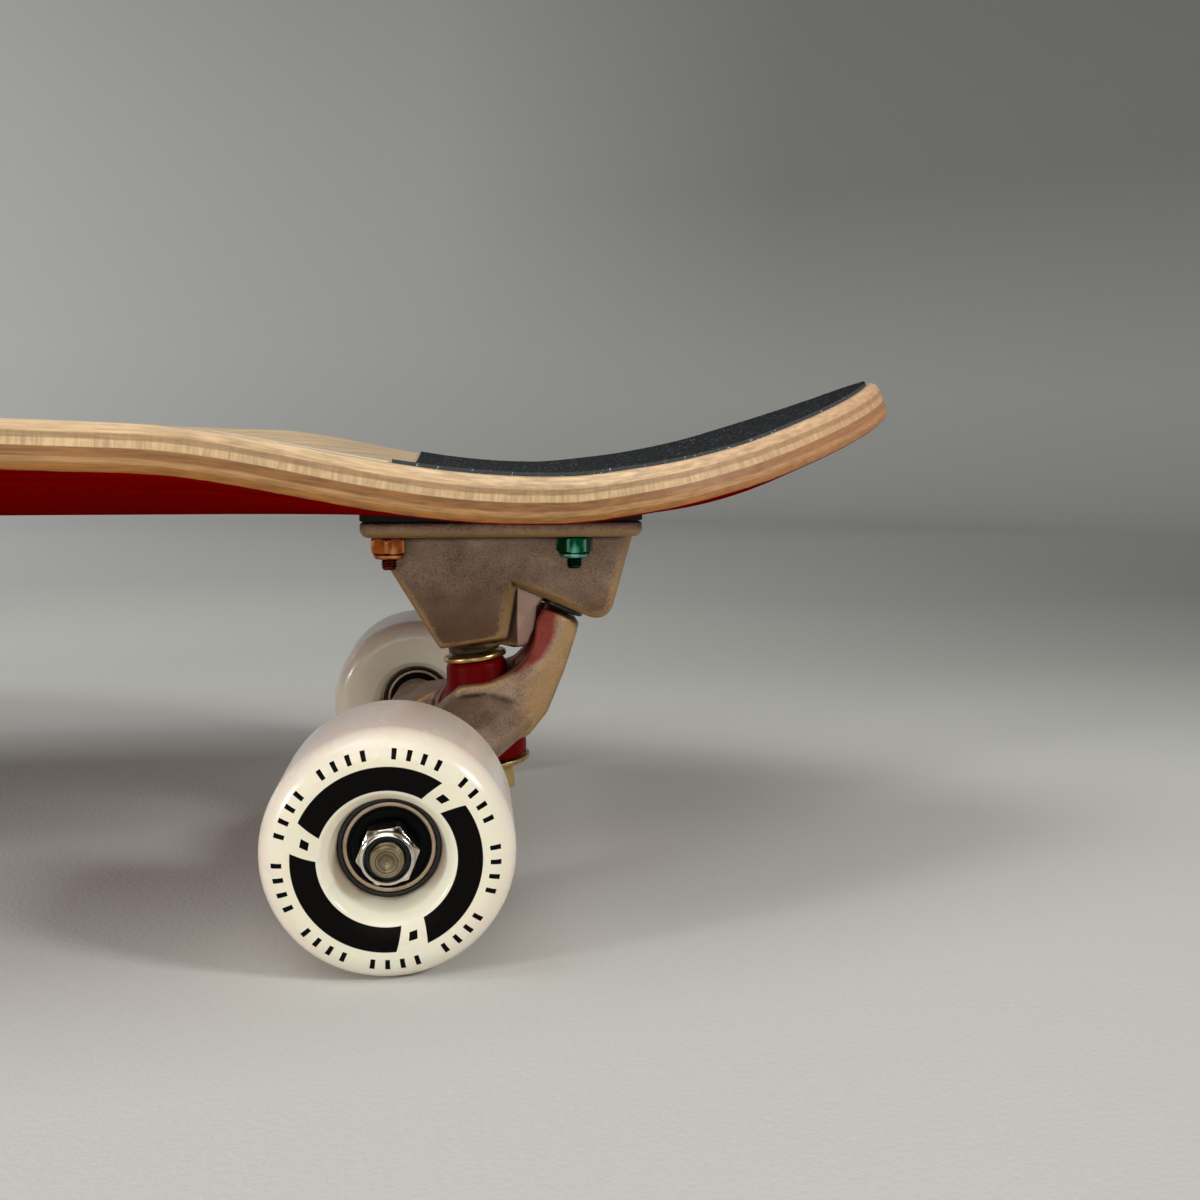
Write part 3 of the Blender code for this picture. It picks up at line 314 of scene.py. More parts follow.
def hexagon(across: float, chamfer_low: float, chamfer_high: float, low: float, high: float
            ) -> Callable[[np.ndarray, np.ndarray], np.ndarray]:
    """The reach of a hexagon whose corners are turned off at a slope of 30 degrees.

    Args:
        across: Width over the flats.
        chamfer_low: Depth of the chamfer at the lower end, measured inwards from the corner.
        chamfer_high: The same at the upper end.
        low: Height of the lower end.
        high: Height of the upper end.

    Returns:
        A function of arrays of angles and heights.
    """
    corner = across / 2 / math.cos(math.radians(30))
    slope = math.tan(math.radians(60))

    def reach(turn: np.ndarray, height: np.ndarray) -> np.ndarray:
        """The distance from the axis at arrays of angles and heights."""
        sector = (turn + math.radians(30)) % math.radians(60) - math.radians(30)
        flat = across / 2 / np.cos(sector)
        cone = np.minimum(corner - chamfer_low + (height - low) * slope,
                          corner - chamfer_high + (high - height) * slope)
        return np.minimum(flat, cone)

    return reach


def hexagon_bar(across: float, low: float, high: float) -> bpy.types.Mesh:
    """A plain hexagonal bar about Z, which cuts a socket."""
    return round_rod("socket", np.array([low, high]), hexagon(across, 0, 0, low, high), 36)


def slab(name: str, outline: Sequence[Corner], low: float, high: float, low_edge: float, high_edge: float
         ) -> bpy.types.Mesh:
    """A flat plate of an outline in XY with chamfered edges.

    Args:
        name: The mesh's name.
        outline: Its corners with their fillets, anticlockwise.
        low: Height of the lower face.
        high: Height of the upper face.
        low_edge: Width of the lower chamfer.
        high_edge: Width of the upper chamfer.

    Returns:
        The mesh.
    """
    line = np.array(filleted(outline, steps=8))
    ahead = np.roll(line, -1, axis=0) - np.roll(line, 1, axis=0)
    inward = np.stack([-ahead[:, 1], ahead[:, 0]], axis=1)
    inward /= np.linalg.norm(inward, axis=1, keepdims=True)
    rings = []
    for inset, height in ((high_edge, high), (0, high - high_edge), (0, low + low_edge), (low_edge, low)):
        flat = line + inward * inset
        rings.append(np.column_stack([flat, np.full(len(flat), height)]))
    return woven(name, np.array(rings), sharp=25)


def points_of(mesh: bpy.types.Mesh) -> np.ndarray:
    """The places of a mesh's vertices.

    Args:
        mesh: The mesh.

    Returns:
        Rows of x, y and z.
    """
    places = np.empty(len(mesh.vertices) * 3, np.float32)
    mesh.vertices.foreach_get("co", places)
    return places.reshape(-1, 3).astype(float)


def normals_of(mesh: bpy.types.Mesh) -> np.ndarray:
    """The normals at a mesh's vertices.

    Args:
        mesh: The mesh.

    Returns:
        Rows of x, y and z.
    """
    normals = np.empty(len(mesh.vertices) * 3, np.float32)
    mesh.vertices.foreach_get("normal", normals)
    return normals.reshape(-1, 3)


def set_points(mesh: bpy.types.Mesh, places: np.ndarray) -> None:
    """Puts a mesh's vertices at new places."""
    mesh.vertices.foreach_set("co", places.astype(np.float32).ravel())
    mesh.update()


def mark(mesh: bpy.types.Mesh, name: str, values: np.ndarray) -> None:
    """Stores a number or a vector for each vertex, for the finish to read.

    Args:
        mesh: The mesh.
        name: The attribute's name.
        values: One number or three for each vertex.
    """
    vector = values.ndim == 2
    made = mesh.attributes.new(name, "FLOAT_VECTOR" if vector else "FLOAT", "POINT")
    made.data.foreach_set("vector" if vector else "value", values.astype(np.float32).ravel())


def in_scene(name: str, mesh: bpy.types.Mesh, place: Matrix = Matrix.Identity(4)) -> bpy.types.Object:
    """Adds an object to the scene.

    Args:
        name: Its name.
        mesh: Its mesh.
        place: Where the mesh's own frame lies.

    Returns:
        The object.
    """
    made = bpy.data.objects.new(name, mesh)
    bpy.context.scene.collection.objects.link(made)
    made.matrix_world = place
    return made


def baked(obj: bpy.types.Object) -> bpy.types.Mesh:
    """Applies an object's modifiers and removes the object.

    Args:
        obj: The object.

    Returns:
        The mesh with the modifiers in it.
    """
    bpy.context.view_layer.update()
    seen = obj.evaluated_get(bpy.context.evaluated_depsgraph_get())
    mesh = bpy.data.meshes.new_from_object(seen)
    bpy.data.objects.remove(obj, do_unlink=True)
    return mesh


def cut_from(mesh: bpy.types.Mesh, cutters: Sequence[bpy.types.Mesh]) -> bpy.types.Mesh:
    """The mesh with the cutters taken away from it, without the doubled points that a cut leaves.

    Args:
        mesh: The mesh to cut.
        cutters: What is taken away from it, one by one.

    Returns:
        The cut mesh.
    """
    base = in_scene("work", mesh)
    others = [in_scene("cutter", cutter) for cutter in cutters]
    for other in others:
        step = base.modifiers.new("Cut", "BOOLEAN")
        step.operation = "DIFFERENCE"
        step.solver = "EXACT"
        step.object = other
    made = baked(base)
    for other in others:
        bpy.data.objects.remove(other, do_unlink=True)
    work = bmesh.new()
    work.from_mesh(made)
    bmesh.ops.remove_doubles(work, verts=work.verts, dist=SAME)
    work.to_mesh(made)
    work.free()
    return made


# Finishes


class Nodes:
    """The nodes of one material. Textures are read in the piece's own space, so they move with it."""

    def __init__(self, name: str) -> None:
        """Starts a material with a Principled shader."""
        self.material = bpy.data.materials.new(name)
        self.material.use_nodes = True
        self.tree = self.material.node_tree
        self.shader = self.tree.nodes["Principled BSDF"]

    def add(self, kind: str, inputs: dict | None = None, **settings: object) -> bpy.types.Node:
        """Adds a node.

        Args:
            kind: Its type, without the ShaderNode in front.
            inputs: Values or sockets for its inputs, by name or number.
            settings: Its properties.

        Returns:
            The node.
        """
        made = self.tree.nodes.new("ShaderNode" + kind)
        for key, value in settings.items():
            setattr(made, key, value)
        for key, value in (inputs or {}).items():
            self.feed(made.inputs[key], value)
        return made

    def feed(self, socket: bpy.types.NodeSocket, value: object) -> None:
        """Links a socket to another, or sets its value.

        Args:
            socket: The input.
            value: A socket, a number, or a colour or vector.
        """
        if isinstance(value, bpy.types.NodeSocket):
            self.tree.links.new(value, socket)
        elif socket.type == "RGBA" and len(value) == 3:
            socket.default_value = (*value, 1.0)
        else:
            socket.default_value = value

    def surface(self, **values: object) -> None:
        """Sets or links the shader's inputs. An underscore stands for a space in their names."""
        for key, value in values.items():
            self.feed(self.shader.inputs[key.replace("_", " ")], value)

    def place(self) -> bpy.types.NodeSocket:
        """Coordinates in the piece's own space, in metres."""
        return self.add("TexCoord").outputs["Object"]

    def stored(self, name: str, vector: bool = False) -> bpy.types.NodeSocket:
        """A number or vector stored on the mesh."""
        made = self.add("Attribute", attribute_name=name)
        return made.outputs["Vector" if vector else "Fac"]

    def parts(self, vector: bpy.types.NodeSocket) -> tuple[bpy.types.NodeSocket, ...]:
        """The x, y and z of a vector."""
        return tuple(self.add("SeparateXYZ", {0: vector}).outputs)

    def stretched(self, vector: bpy.types.NodeSocket, x: float, y: float, z: float) -> bpy.types.NodeSocket:
        """A vector times a factor for each axis."""
        return self.add("VectorMath", {0: vector, 1: (x, y, z)}, operation="MULTIPLY").outputs[0]

    def noise(self, vector: bpy.types.NodeSocket, scale: float, detail: float = 3.0,
              rough: float = 0.5) -> bpy.types.NodeSocket:
        """Noise around 0.5."""
        inputs = {"Vector": vector, "Scale": scale, "Detail": detail, "Roughness": rough}
        return self.add("TexNoise", inputs).outputs["Fac"]

    def calc(self, operation: str, first: object, second: object = 0.0) -> bpy.types.NodeSocket:
        """One step of arithmetic."""
        return self.add("Math", {0: first, 1: second}, operation=operation).outputs[0]

    def plus(self, first: object, second: object) -> bpy.types.NodeSocket:
        """The sum of two numbers."""
        return self.calc("ADD", first, second)

    def times(self, first: object, second: object) -> bpy.types.NodeSocket:
        """The product of two numbers."""
        return self.calc("MULTIPLY", first, second)

    def larger(self, first: object, second: object) -> bpy.types.NodeSocket:
        """The larger of two numbers."""
        return self.calc("MAXIMUM", first, second)

    def reach(self, x: bpy.types.NodeSocket, y: bpy.types.NodeSocket) -> bpy.types.NodeSocket:
        """The distance from the Z axis."""
        return self.calc("SQRT", self.plus(self.times(x, x), self.times(y, y)))

    def between(self, value: bpy.types.NodeSocket, low: float, high: float) -> bpy.types.NodeSocket:
        """One where a value lies between two limits, with a thin soft border."""
        soft = (high - low) * 0.02
        return self.times(self.spread(value, low - soft, low), self.spread(value, high, high - soft))

    def spread(self, value: object, low: float, high: float, to_low: float = 0.0, to_high: float = 1.0
               ) -> bpy.types.NodeSocket:
        """A value mapped from one range to another and held within it."""
        inputs = {0: value, 1: low, 2: high, 3: to_low, 4: to_high}
        return self.add("MapRange", inputs).outputs[0]

    def bands(self, factor: object, stops: Sequence[tuple[float, Colour]]) -> bpy.types.NodeSocket:
        """A colour ramp.

        Args:
            factor: Where on the ramp.
            stops: Its places and colours, in order.

        Returns:
            The colour.
        """
        ramp = self.add("ValToRGB", {0: factor})
        elements = ramp.color_ramp.elements
        elements[0].position, elements[1].position = stops[0][0], stops[-1][0]
        for position, _ in stops[1:-1]:
            elements.new(position)
        for element, (_, colour) in zip(elements, stops):
            element.color = (*colour, 1.0)
        return ramp.outputs["Color"]

    def mix(self, factor: object, first: object, second: object, blend: str = "MIX"
            ) -> bpy.types.NodeSocket:
        """A mix of two colours.

        Args:
            factor: Share of the second.
            first: The colour at 0.
            second: The colour at 1.
            blend: How they are mixed.

        Returns:
            The colour.
        """
        made = self.add("Mix", data_type="RGBA", blend_type=blend)
        self.feed(made.inputs[0], factor)
        self.feed(made.inputs[6], first)
        self.feed(made.inputs[7], second)
        return made.outputs[2]

    def relief(self, height: bpy.types.NodeSocket, depth: float) -> None:
        """Bumps the surface by a height from 0 to 1 times a depth in metres."""
        bump = self.add("Bump", {"Height": height, "Distance": depth, "Strength": 1.0})
        self.tree.links.new(bump.outputs[0], self.shader.inputs["Normal"])


def dimmed(colour: Colour, share: float) -> Colour:
    """A share of a colour."""
    return tuple(share * c for c in colour)


@dataclass(frozen=True)
class WoodFinish:
    """Seven plies of maple under satin lacquer, with the lower face painted red."""

    thickness: float
    tail_tip: float
    long_ply: Colour = screen(226, 196, 156)
    second_ply: Colour = screen(222, 188, 146)
    third_ply: Colour = screen(178, 144, 106)
    pale_ply: Colour = screen(214, 182, 138)
    dark_ply: Colour = screen(150, 104, 62)
    sixth_ply: Colour = screen(178, 134, 86)
    last_ply: Colour = screen(168, 112, 54)
    paint: Colour = screen(140, 4, 2)
    rosy: Colour = screen(206, 152, 116)
    rosy_length: float = 90 * MM    # of the tail's end that is tinted
    # Painted shade: the top face's colour is multiplied by this share, darker than the plies' edges.
    top_face_shade: float = 0.79          # of the top face against the plies' edges

    def build(self) -> bpy.types.Material:
        """Makes the material. The mesh stores each vertex's place in the flat blank as blank.

        Returns:
            The material.
        """
        nodes = Nodes("maple_plies")
        blank = nodes.stored("blank", vector=True)
        x, _, depth = nodes.parts(blank)
        wobble = nodes.noise(nodes.stretched(blank, 14, 14, 0), 1.0, 2)
        share = nodes.times(depth, -1 / self.thickness)
        share = nodes.plus(share, nodes.spread(wobble, 0.3, 0.7, -0.02, 0.02))
        plies = nodes.bands(share, self.ply_stops())
        crossed = nodes.bands(share, self.cross_stops())
        along = nodes.noise(nodes.stretched(blank, 34, 420, 1300), 1.0, 4, 0.6)
        across = nodes.noise(nodes.stretched(blank, 1150, 40, 90), 1.0, 3, 0.6)
        figure = nodes.noise(nodes.stretched(blank, 3, 60, 0), 1.0, 3)
        grain = nodes.mix(crossed, along, across)
        tone = nodes.plus(nodes.spread(grain, 0.35, 0.65, 0.72, 1.2),
                          nodes.spread(figure, 0.3, 0.7, -0.06, 0.06))
        # Painted shade on the top face.
        tone = nodes.times(tone, nodes.spread(share, 0.004, 0.03, self.top_face_shade, 1.0))
        tone = nodes.add("CombineXYZ", {0: tone, 1: tone, 2: tone}).outputs[0]
        wood = nodes.mix(1.0, plies, tone, "MULTIPLY")
        rosy = nodes.spread(x, self.tail_tip - self.rosy_length, self.tail_tip, 0.0, 0.45)
        wood = nodes.mix(rosy, wood, self.rosy)
        ragged = nodes.noise(nodes.stretched(blank, 300, 300, 0), 1.0, 2)
        edge = nodes.calc("SUBTRACT", share, nodes.spread(ragged, 0.3, 0.7, -0.004, 0.004))
        painted = nodes.spread(edge, 0.962, 0.972)
        streaks = nodes.noise(nodes.stretched(blank, 7, 300, 0), 1.0, 4, 0.6)
        red = nodes.bands(streaks, ((0.35, dimmed(self.paint, 0.6)), (0.65, self.paint)))
        nodes.surface(Base_Color=nodes.mix(painted, wood, red), Coat_Roughness=0.25,
                      Coat_Weight=nodes.spread(painted, 0, 1, 0.06, 0.0),
                      Specular_IOR_Level=nodes.spread(painted, 0, 1, 0.3, 0.0),
                      Roughness=nodes.larger(nodes.spread(grain, 0.2, 0.8, 0.58, 0.46),
                                             nodes.times(painted, 0.62)))
        nodes.relief(grain, 0.06 * MM)
        return nodes.material

    def ply_stops(self) -> list[tuple[float, Colour]]:
        """The plies' colours by their share of the thickness, with a dark glue line above the last.

        Returns:
            The ramp's stops.
        """
        tones = (self.long_ply, self.second_ply, self.third_ply, self.pale_ply, self.dark_ply,
                 self.sixth_ply, self.last_ply)
        edges = (0.0, 0.135, 0.262, 0.385, 0.535, 0.722, 0.845, 1.0)
        fade = 0.011
        stops: list[tuple[float, Colour]] = []
        for tone, low, high in zip(tones, edges, edges[1:]):
            stops.append((low + fade, tone))
            stops.append((high - fade, tone))
        stops.insert(-2, (edges[-2], dimmed(self.sixth_ply, 0.62)))
        return stops

    def cross_stops(self) -> list[tuple[float, Colour]]:
        """Pale where a ply's grain runs across the board, and black elsewhere.

        Returns:
            The ramp's stops.
        """
        black = (0.0, 0.0, 0.0)
        part = (0.3, 0.3, 0.3)
        most = (0.75, 0.75, 0.75)
        return [(0.25, black), (0.265, part), (0.38, part), (0.39, most), (0.525, most), (0.545, black)]


@dataclass(frozen=True)
class GripFinish:
    """Black grip sheet: carbide grit in black resin, with grains that catch the light."""

    resin: Colour = screen(21, 24, 27)
    grain: Colour = screen(150, 156, 160)
    cut_edge: Colour = screen(112, 118, 122)
    grains: float = 2100.0          # to the metre

    def build(self) -> bpy.types.Material:
        """Makes the material.

        Returns:
            The material.
        """
        nodes = Nodes("black_grip")
        place = nodes.place()
        cells = nodes.add("TexVoronoi", {"Vector": place, "Scale": self.grains}, feature="F1")
        pick = nodes.parts(cells.outputs["Color"])[0]
        sparkle = nodes.spread(pick, 0.964, 0.976)
        mottle = nodes.noise(place, 900.0, 3)
        dark = nodes.bands(mottle, ((0.3, dimmed(self.resin, 0.55)), (0.7, dimmed(self.resin, 1.7))))
        cut = nodes.spread(nodes.stored("rim"), 0.5, 1.0, 0.0, 0.35)
        nodes.surface(Base_Color=nodes.mix(cut, nodes.mix(sparkle, dark, self.grain), self.cut_edge),
                      Metallic=nodes.times(sparkle, 0.8),
                      Specular_IOR_Level=0.25, Roughness=nodes.spread(sparkle, 0, 1, 0.82, 0.25))
        nodes.relief(nodes.noise(place, 1700.0, 3, 0.7), 0.3 * MM)
        return nodes.material


@dataclass(frozen=True)
class FilmFinish:
    """Clear film over the bare wood, whitish at its cut edge."""

    def build(self) -> bpy.types.Material:
        """Makes the material. The mesh stores rim as 1 at the cut edge.

        Returns:
            The material.
        """
        nodes = Nodes("clear_film")
        rim = nodes.stored("rim")
        dust = nodes.noise(nodes.place(), 500.0, 4, 0.7)
        alpha = nodes.plus(nodes.spread(rim, 0.1, 0.9, 0.02, 0.9), nodes.spread(dust, 0.55, 0.8, 0, 0.04))
        nodes.surface(Base_Color=screen(232, 228, 218), Alpha=alpha, Specular_IOR_Level=0.12,
                      Roughness=nodes.spread(dust, 0.3, 0.7, 0.42, 0.6))
        nodes.relief(dust, 0.03 * MM)
        return nodes.material


@dataclass(frozen=True)
class CastingFinish:
    """Antique bronze casting: sandy brown faces, edges and facets rubbed to gold, dark patina in the
    corners, with painted shade, light and reflection.
    """

    name: str = "antique_bronze"
    face: Colour = screen(186, 160, 139)
    shade: Colour = screen(138, 114, 96)
    gold: Colour = screen(184, 148, 100)
    # Dark patina in the casting's hollows, also used as a painted shadow on the boss under the block.
    patina_and_shadow: Colour = screen(28, 20, 16)
    # Painted shade: the baseplate is mixed towards this, darker towards the bottom.
    low: Colour = screen(98, 68, 44)
    # Painted light on the rib beside the notch.
    pale: Colour = screen(242, 208, 190)
    # Painted reflection of the red bushings on the hanger's faces that turn towards them.
    ruddy: Colour = screen(140, 26, 18)
    bright_grain: Colour = screen(206, 180, 150)
    dark_grain: Colour = screen(72, 56, 46)

    def build(self) -> bpy.types.Material:
        """Makes the material.

        The mesh stores wear on outer edges, rubbed on facets and hollow in corners, where patina lies and
        where a shadow is painted under the block; low for painted shade towards the bottom, pale for
        painted light on the rib, and a painted red reflection where faces turn towards the red bushings.

        Returns:
            The material.
        """
        nodes = Nodes(self.name)
        place = nodes.place()
        mottle = nodes.noise(place, 120.0, 4, 0.6)
        sand = nodes.noise(place, 1700.0, 3, 0.7)
        skin = nodes.bands(mottle, ((0.3, self.shade), (0.7, self.face)))
        skin = nodes.mix(nodes.spread(sand, 0.52, 0.72, 0.0, 0.5), skin, self.bright_grain)
        skin = nodes.mix(nodes.spread(sand, 0.48, 0.3, 0.0, 0.6), skin, self.dark_grain)
        # Painted shade: darker towards the bottom of the baseplate.
        skin = nodes.mix(nodes.times(nodes.stored("low"), 0.9), skin, self.low)
        # Painted light: the rib is lightened.
        skin = nodes.mix(nodes.times(nodes.stored("pale"), 0.9), skin, self.pale)
        rubbed = nodes.larger(nodes.stored("wear"), nodes.stored("rubbed"))
        rubbed = nodes.plus(rubbed, nodes.spread(mottle, 0.3, 0.7, -0.15, 0.15))
        rubbed = nodes.plus(rubbed, nodes.spread(sand, 0.3, 0.7, -0.22, 0.22))
        rubbed = nodes.spread(rubbed, 0.25, 0.85, 0.0, 0.9)
        skin = nodes.mix(rubbed, skin, self.gold)
        # Patina in the hollows, and a painted shadow on the boss under the block.
        skin = nodes.mix(nodes.spread(nodes.stored("hollow"), 0.15, 0.8, 0.0, 0.85), skin, self.patina_and_shadow)
        # Painted red reflection of the bushings.
        skin = nodes.mix(nodes.times(nodes.stored("ruddy"), 0.85), skin, self.ruddy)
        nodes.surface(Base_Color=skin, Metallic=0.6, Roughness=nodes.spread(rubbed, 0, 1, 0.5, 0.38))
        nodes.relief(nodes.plus(sand, nodes.times(mottle, 1.5)), 0.3 * MM)
        return nodes.material


@dataclass(frozen=True)
class MetalFinish:
    """Turned or plated metal with fine marks from its tool and its handling."""

    name: str
    colour: Colour
    rough: float
    stain: Colour
    marks: float = 0.02 * MM
    rings: float = 0.0              # how strongly the lathe's rings show

    def build(self) -> bpy.types.Material:
        """Makes the material.

        Returns:
            The material.
        """
        nodes = Nodes(self.name)
        place = nodes.place()
        cloud = nodes.noise(place, 260.0, 4, 0.6)
        fine = nodes.noise(place, 2600.0, 2)
        colour = nodes.mix(nodes.spread(cloud, 0.42, 0.75, 0.0, 0.7), self.colour, self.stain)
        x, y, z = nodes.parts(place)
        across = nodes.add("CombineXYZ", {0: nodes.reach(x, y), 2: z}).outputs[0]
        turned_line = nodes.noise(across, 1500.0, 2)
        colour = nodes.mix(nodes.spread(turned_line, 0.45, 0.6, 0.0, self.rings), colour,
                           dimmed(self.stain, 0.4))
        # Painted shade in the thread's grooves.
        colour = nodes.mix(nodes.times(nodes.stored("hollow"), 0.85), colour, dimmed(self.stain, 0.25))
        nodes.surface(Base_Color=colour, Metallic=1.0,
                      Roughness=nodes.spread(cloud, 0.3, 0.75, self.rough, self.rough + 0.16))
        nodes.relief(fine, self.marks)
        return nodes.material


@dataclass(frozen=True)
class AnodisedFinish:
    """Bright metal, dyed or plated, with painted reflections in light and dark bands, and paler corners
    that are partly wear and partly painted highlight.
    """

    name: str
    # Painted highlight: the light end of the painted reflection bands, and the corners' colour.
    painted_highlight: Colour
    colour: Colour
    # Painted dark reflection: the dark end of the bands; dimmed, it is the painted shade in hollows.
    deep: Colour
    # Scale of the painted reflection bands on each axis.
    reflection_stripes: tuple[float, float, float] = (240.0, 240.0, 70.0)
    rough: float = 0.3

    def build(self) -> bpy.types.Material:
        """Makes the material. The mesh stores edge on its corners and collar, for wear and painted
        highlight, and hollow in its thread and where the collar meets the hexagon, for painted shade.

        Returns:
            The material.
        """
        nodes = Nodes(self.name)
        place = nodes.place()
        # Painted reflections: the colour runs through dark and light bands.
        bands = nodes.noise(nodes.stretched(place, *self.reflection_stripes), 1.0, 2, 0.4)
        colour = nodes.bands(bands, ((0.36, self.deep), (0.47, self.colour), (0.6, self.colour),
                                     (0.7, self.painted_highlight)))
        # Corners and collar: partly wear, partly painted highlight.
        colour = nodes.mix(nodes.times(nodes.stored("edge"), 0.75), colour, self.painted_highlight)
        # Painted shade in the thread's grooves and in the crease where the collar meets the hexagon.
        colour = nodes.mix(nodes.times(nodes.stored("hollow"), 0.8), colour, dimmed(self.deep, 0.35))
        nodes.surface(Base_Color=colour, Metallic=1.0,
                      Roughness=nodes.spread(bands, 0.3, 0.7, self.rough, 0.6 * self.rough))
        nodes.relief(nodes.noise(place, 380.0, 2), 0.08 * MM)
        return nodes.material


@dataclass(frozen=True)
class PlasticFinish:
    """Moulded plastic or rubber with a faint texture and a little dust."""

    name: str
    colour: Colour
    rough: float
    dust: Colour = screen(150, 142, 132)
    dusty: float = 0.12
    grain: float = 0.02 * MM
    shine: float = 0.5

    def build(self) -> bpy.types.Material:
        """Makes the material.

        Returns:
            The material.
        """
        nodes = Nodes(self.name)
        place = nodes.place()
        cloud = nodes.noise(place, 180.0, 5, 0.65)
        fine = nodes.noise(place, 1800.0, 2)
        colour = nodes.mix(nodes.spread(cloud, 0.5, 0.8, 0.0, self.dusty), self.colour, self.dust)
        nodes.surface(Base_Color=colour, Specular_IOR_Level=self.shine,
                      Roughness=nodes.spread(cloud, 0.3, 0.7, self.rough - 0.04, self.rough + 0.08))
        nodes.relief(fine, self.grain)
        return nodes.material


@dataclass(frozen=True)
class WheelFinish:
    """Poured cream urethane that lets light through, with a plain ring printed on its outer side.

    The print is three bars with slanted ends between two circles, and a scale of short strokes outside
    them. It is read in the wheel's own space, with Z out along the axle.
    """

    cream: Colour = screen(242, 236, 216)
    # Painted light: a pinker tread that stands in for red light thrown up from the deck's underside.
    tread_pink_light: Colour = screen(248, 232, 220)
    ink: Colour = screen(5, 4, 3)
    bar_low: float = 16.2 * MM
    bar_high: float = 22.0 * MM
    bars: int = 3
    bar_share: float = 0.84
    bar_slant: float = 0.05
    bead_low: float = 18.0 * MM     # of the short piece between two bars
    bead_high: float = 20.0 * MM
    bead_start: float = 0.895       # in shares of a bar and its gap
    bead_end: float = 0.945
    stroke_low: float = 23.7 * MM
    stroke_high: float = 26.2 * MM
    stroke_share: float = 0.34
    strokes: int = 45
    groups: int = 9                 # of strokes, each followed by a gap
    group_share: float = 0.8
    face: float = 20.5 * MM         # the print lies further out than this from the wheel's middle
    cloudy: Colour = screen(236, 229, 214)

    def build(self) -> bpy.types.Material:
        """Makes the material.

        Returns:
            The material.
        """
        nodes = Nodes("cream_urethane")
        place = nodes.place()
        x, y, z = nodes.parts(place)
        reach = nodes.reach(x, y)
        turn = nodes.plus(nodes.calc("DIVIDE", nodes.calc("ARCTAN2", y, x), 2 * math.pi), 0.5)
        slant = nodes.spread(reach, self.bar_low, self.bar_high, 0.0, self.bar_slant)
        sector = nodes.calc("FRACT", nodes.plus(nodes.times(turn, float(self.bars)), slant))
        bar = nodes.times(nodes.between(reach, self.bar_low, self.bar_high),
                          nodes.spread(sector, self.bar_share, self.bar_share - 0.003))
        bead = nodes.between(reach, self.bead_low, self.bead_high)
        bead = nodes.times(bead, nodes.between(sector, self.bead_start, self.bead_end))
        tick = nodes.calc("FRACT", nodes.times(turn, float(self.strokes)))
        stroke = nodes.times(nodes.between(reach, self.stroke_low, self.stroke_high),
                             nodes.spread(tick, self.stroke_share, self.stroke_share - 0.03))
        group = nodes.calc("FRACT", nodes.times(turn, float(self.groups)))
        stroke = nodes.times(stroke, nodes.spread(group, self.group_share, self.group_share - 0.01))
        printed = nodes.larger(nodes.larger(bar, bead), stroke)
        printed = nodes.times(printed, nodes.spread(z, self.face, self.face + 0.1 * MM))
        cloud = nodes.noise(place, 60.0, 3)
        base = nodes.mix(nodes.spread(cloud, 0.35, 0.7, 0.0, 0.35), self.cream, self.cloudy)
        # Painted light: the tread is tinted pink.
        base = nodes.mix(nodes.spread(reach, 24 * MM, 30 * MM, 0.0, 0.75), base, self.tread_pink_light)
        nodes.surface(Base_Color=nodes.mix(printed, base, self.ink), Subsurface_Scale=11 * MM,
                      Subsurface_Weight=nodes.spread(printed, 0, 1, 0.85, 0.0),
                      Subsurface_Radius=(1.0, 0.6, 0.3), Coat_Roughness=0.07,
                      Coat_Weight=nodes.spread(printed, 0, 1, 0.3, 0.0),
                      Specular_IOR_Level=nodes.spread(printed, 0, 1, 0.5, 0.08),
                      Roughness=nodes.spread(cloud, 0.3, 0.7, 0.2, 0.3))
        nodes.relief(nodes.noise(place, 420.0, 3), 0.02 * MM)
        return nodes.material


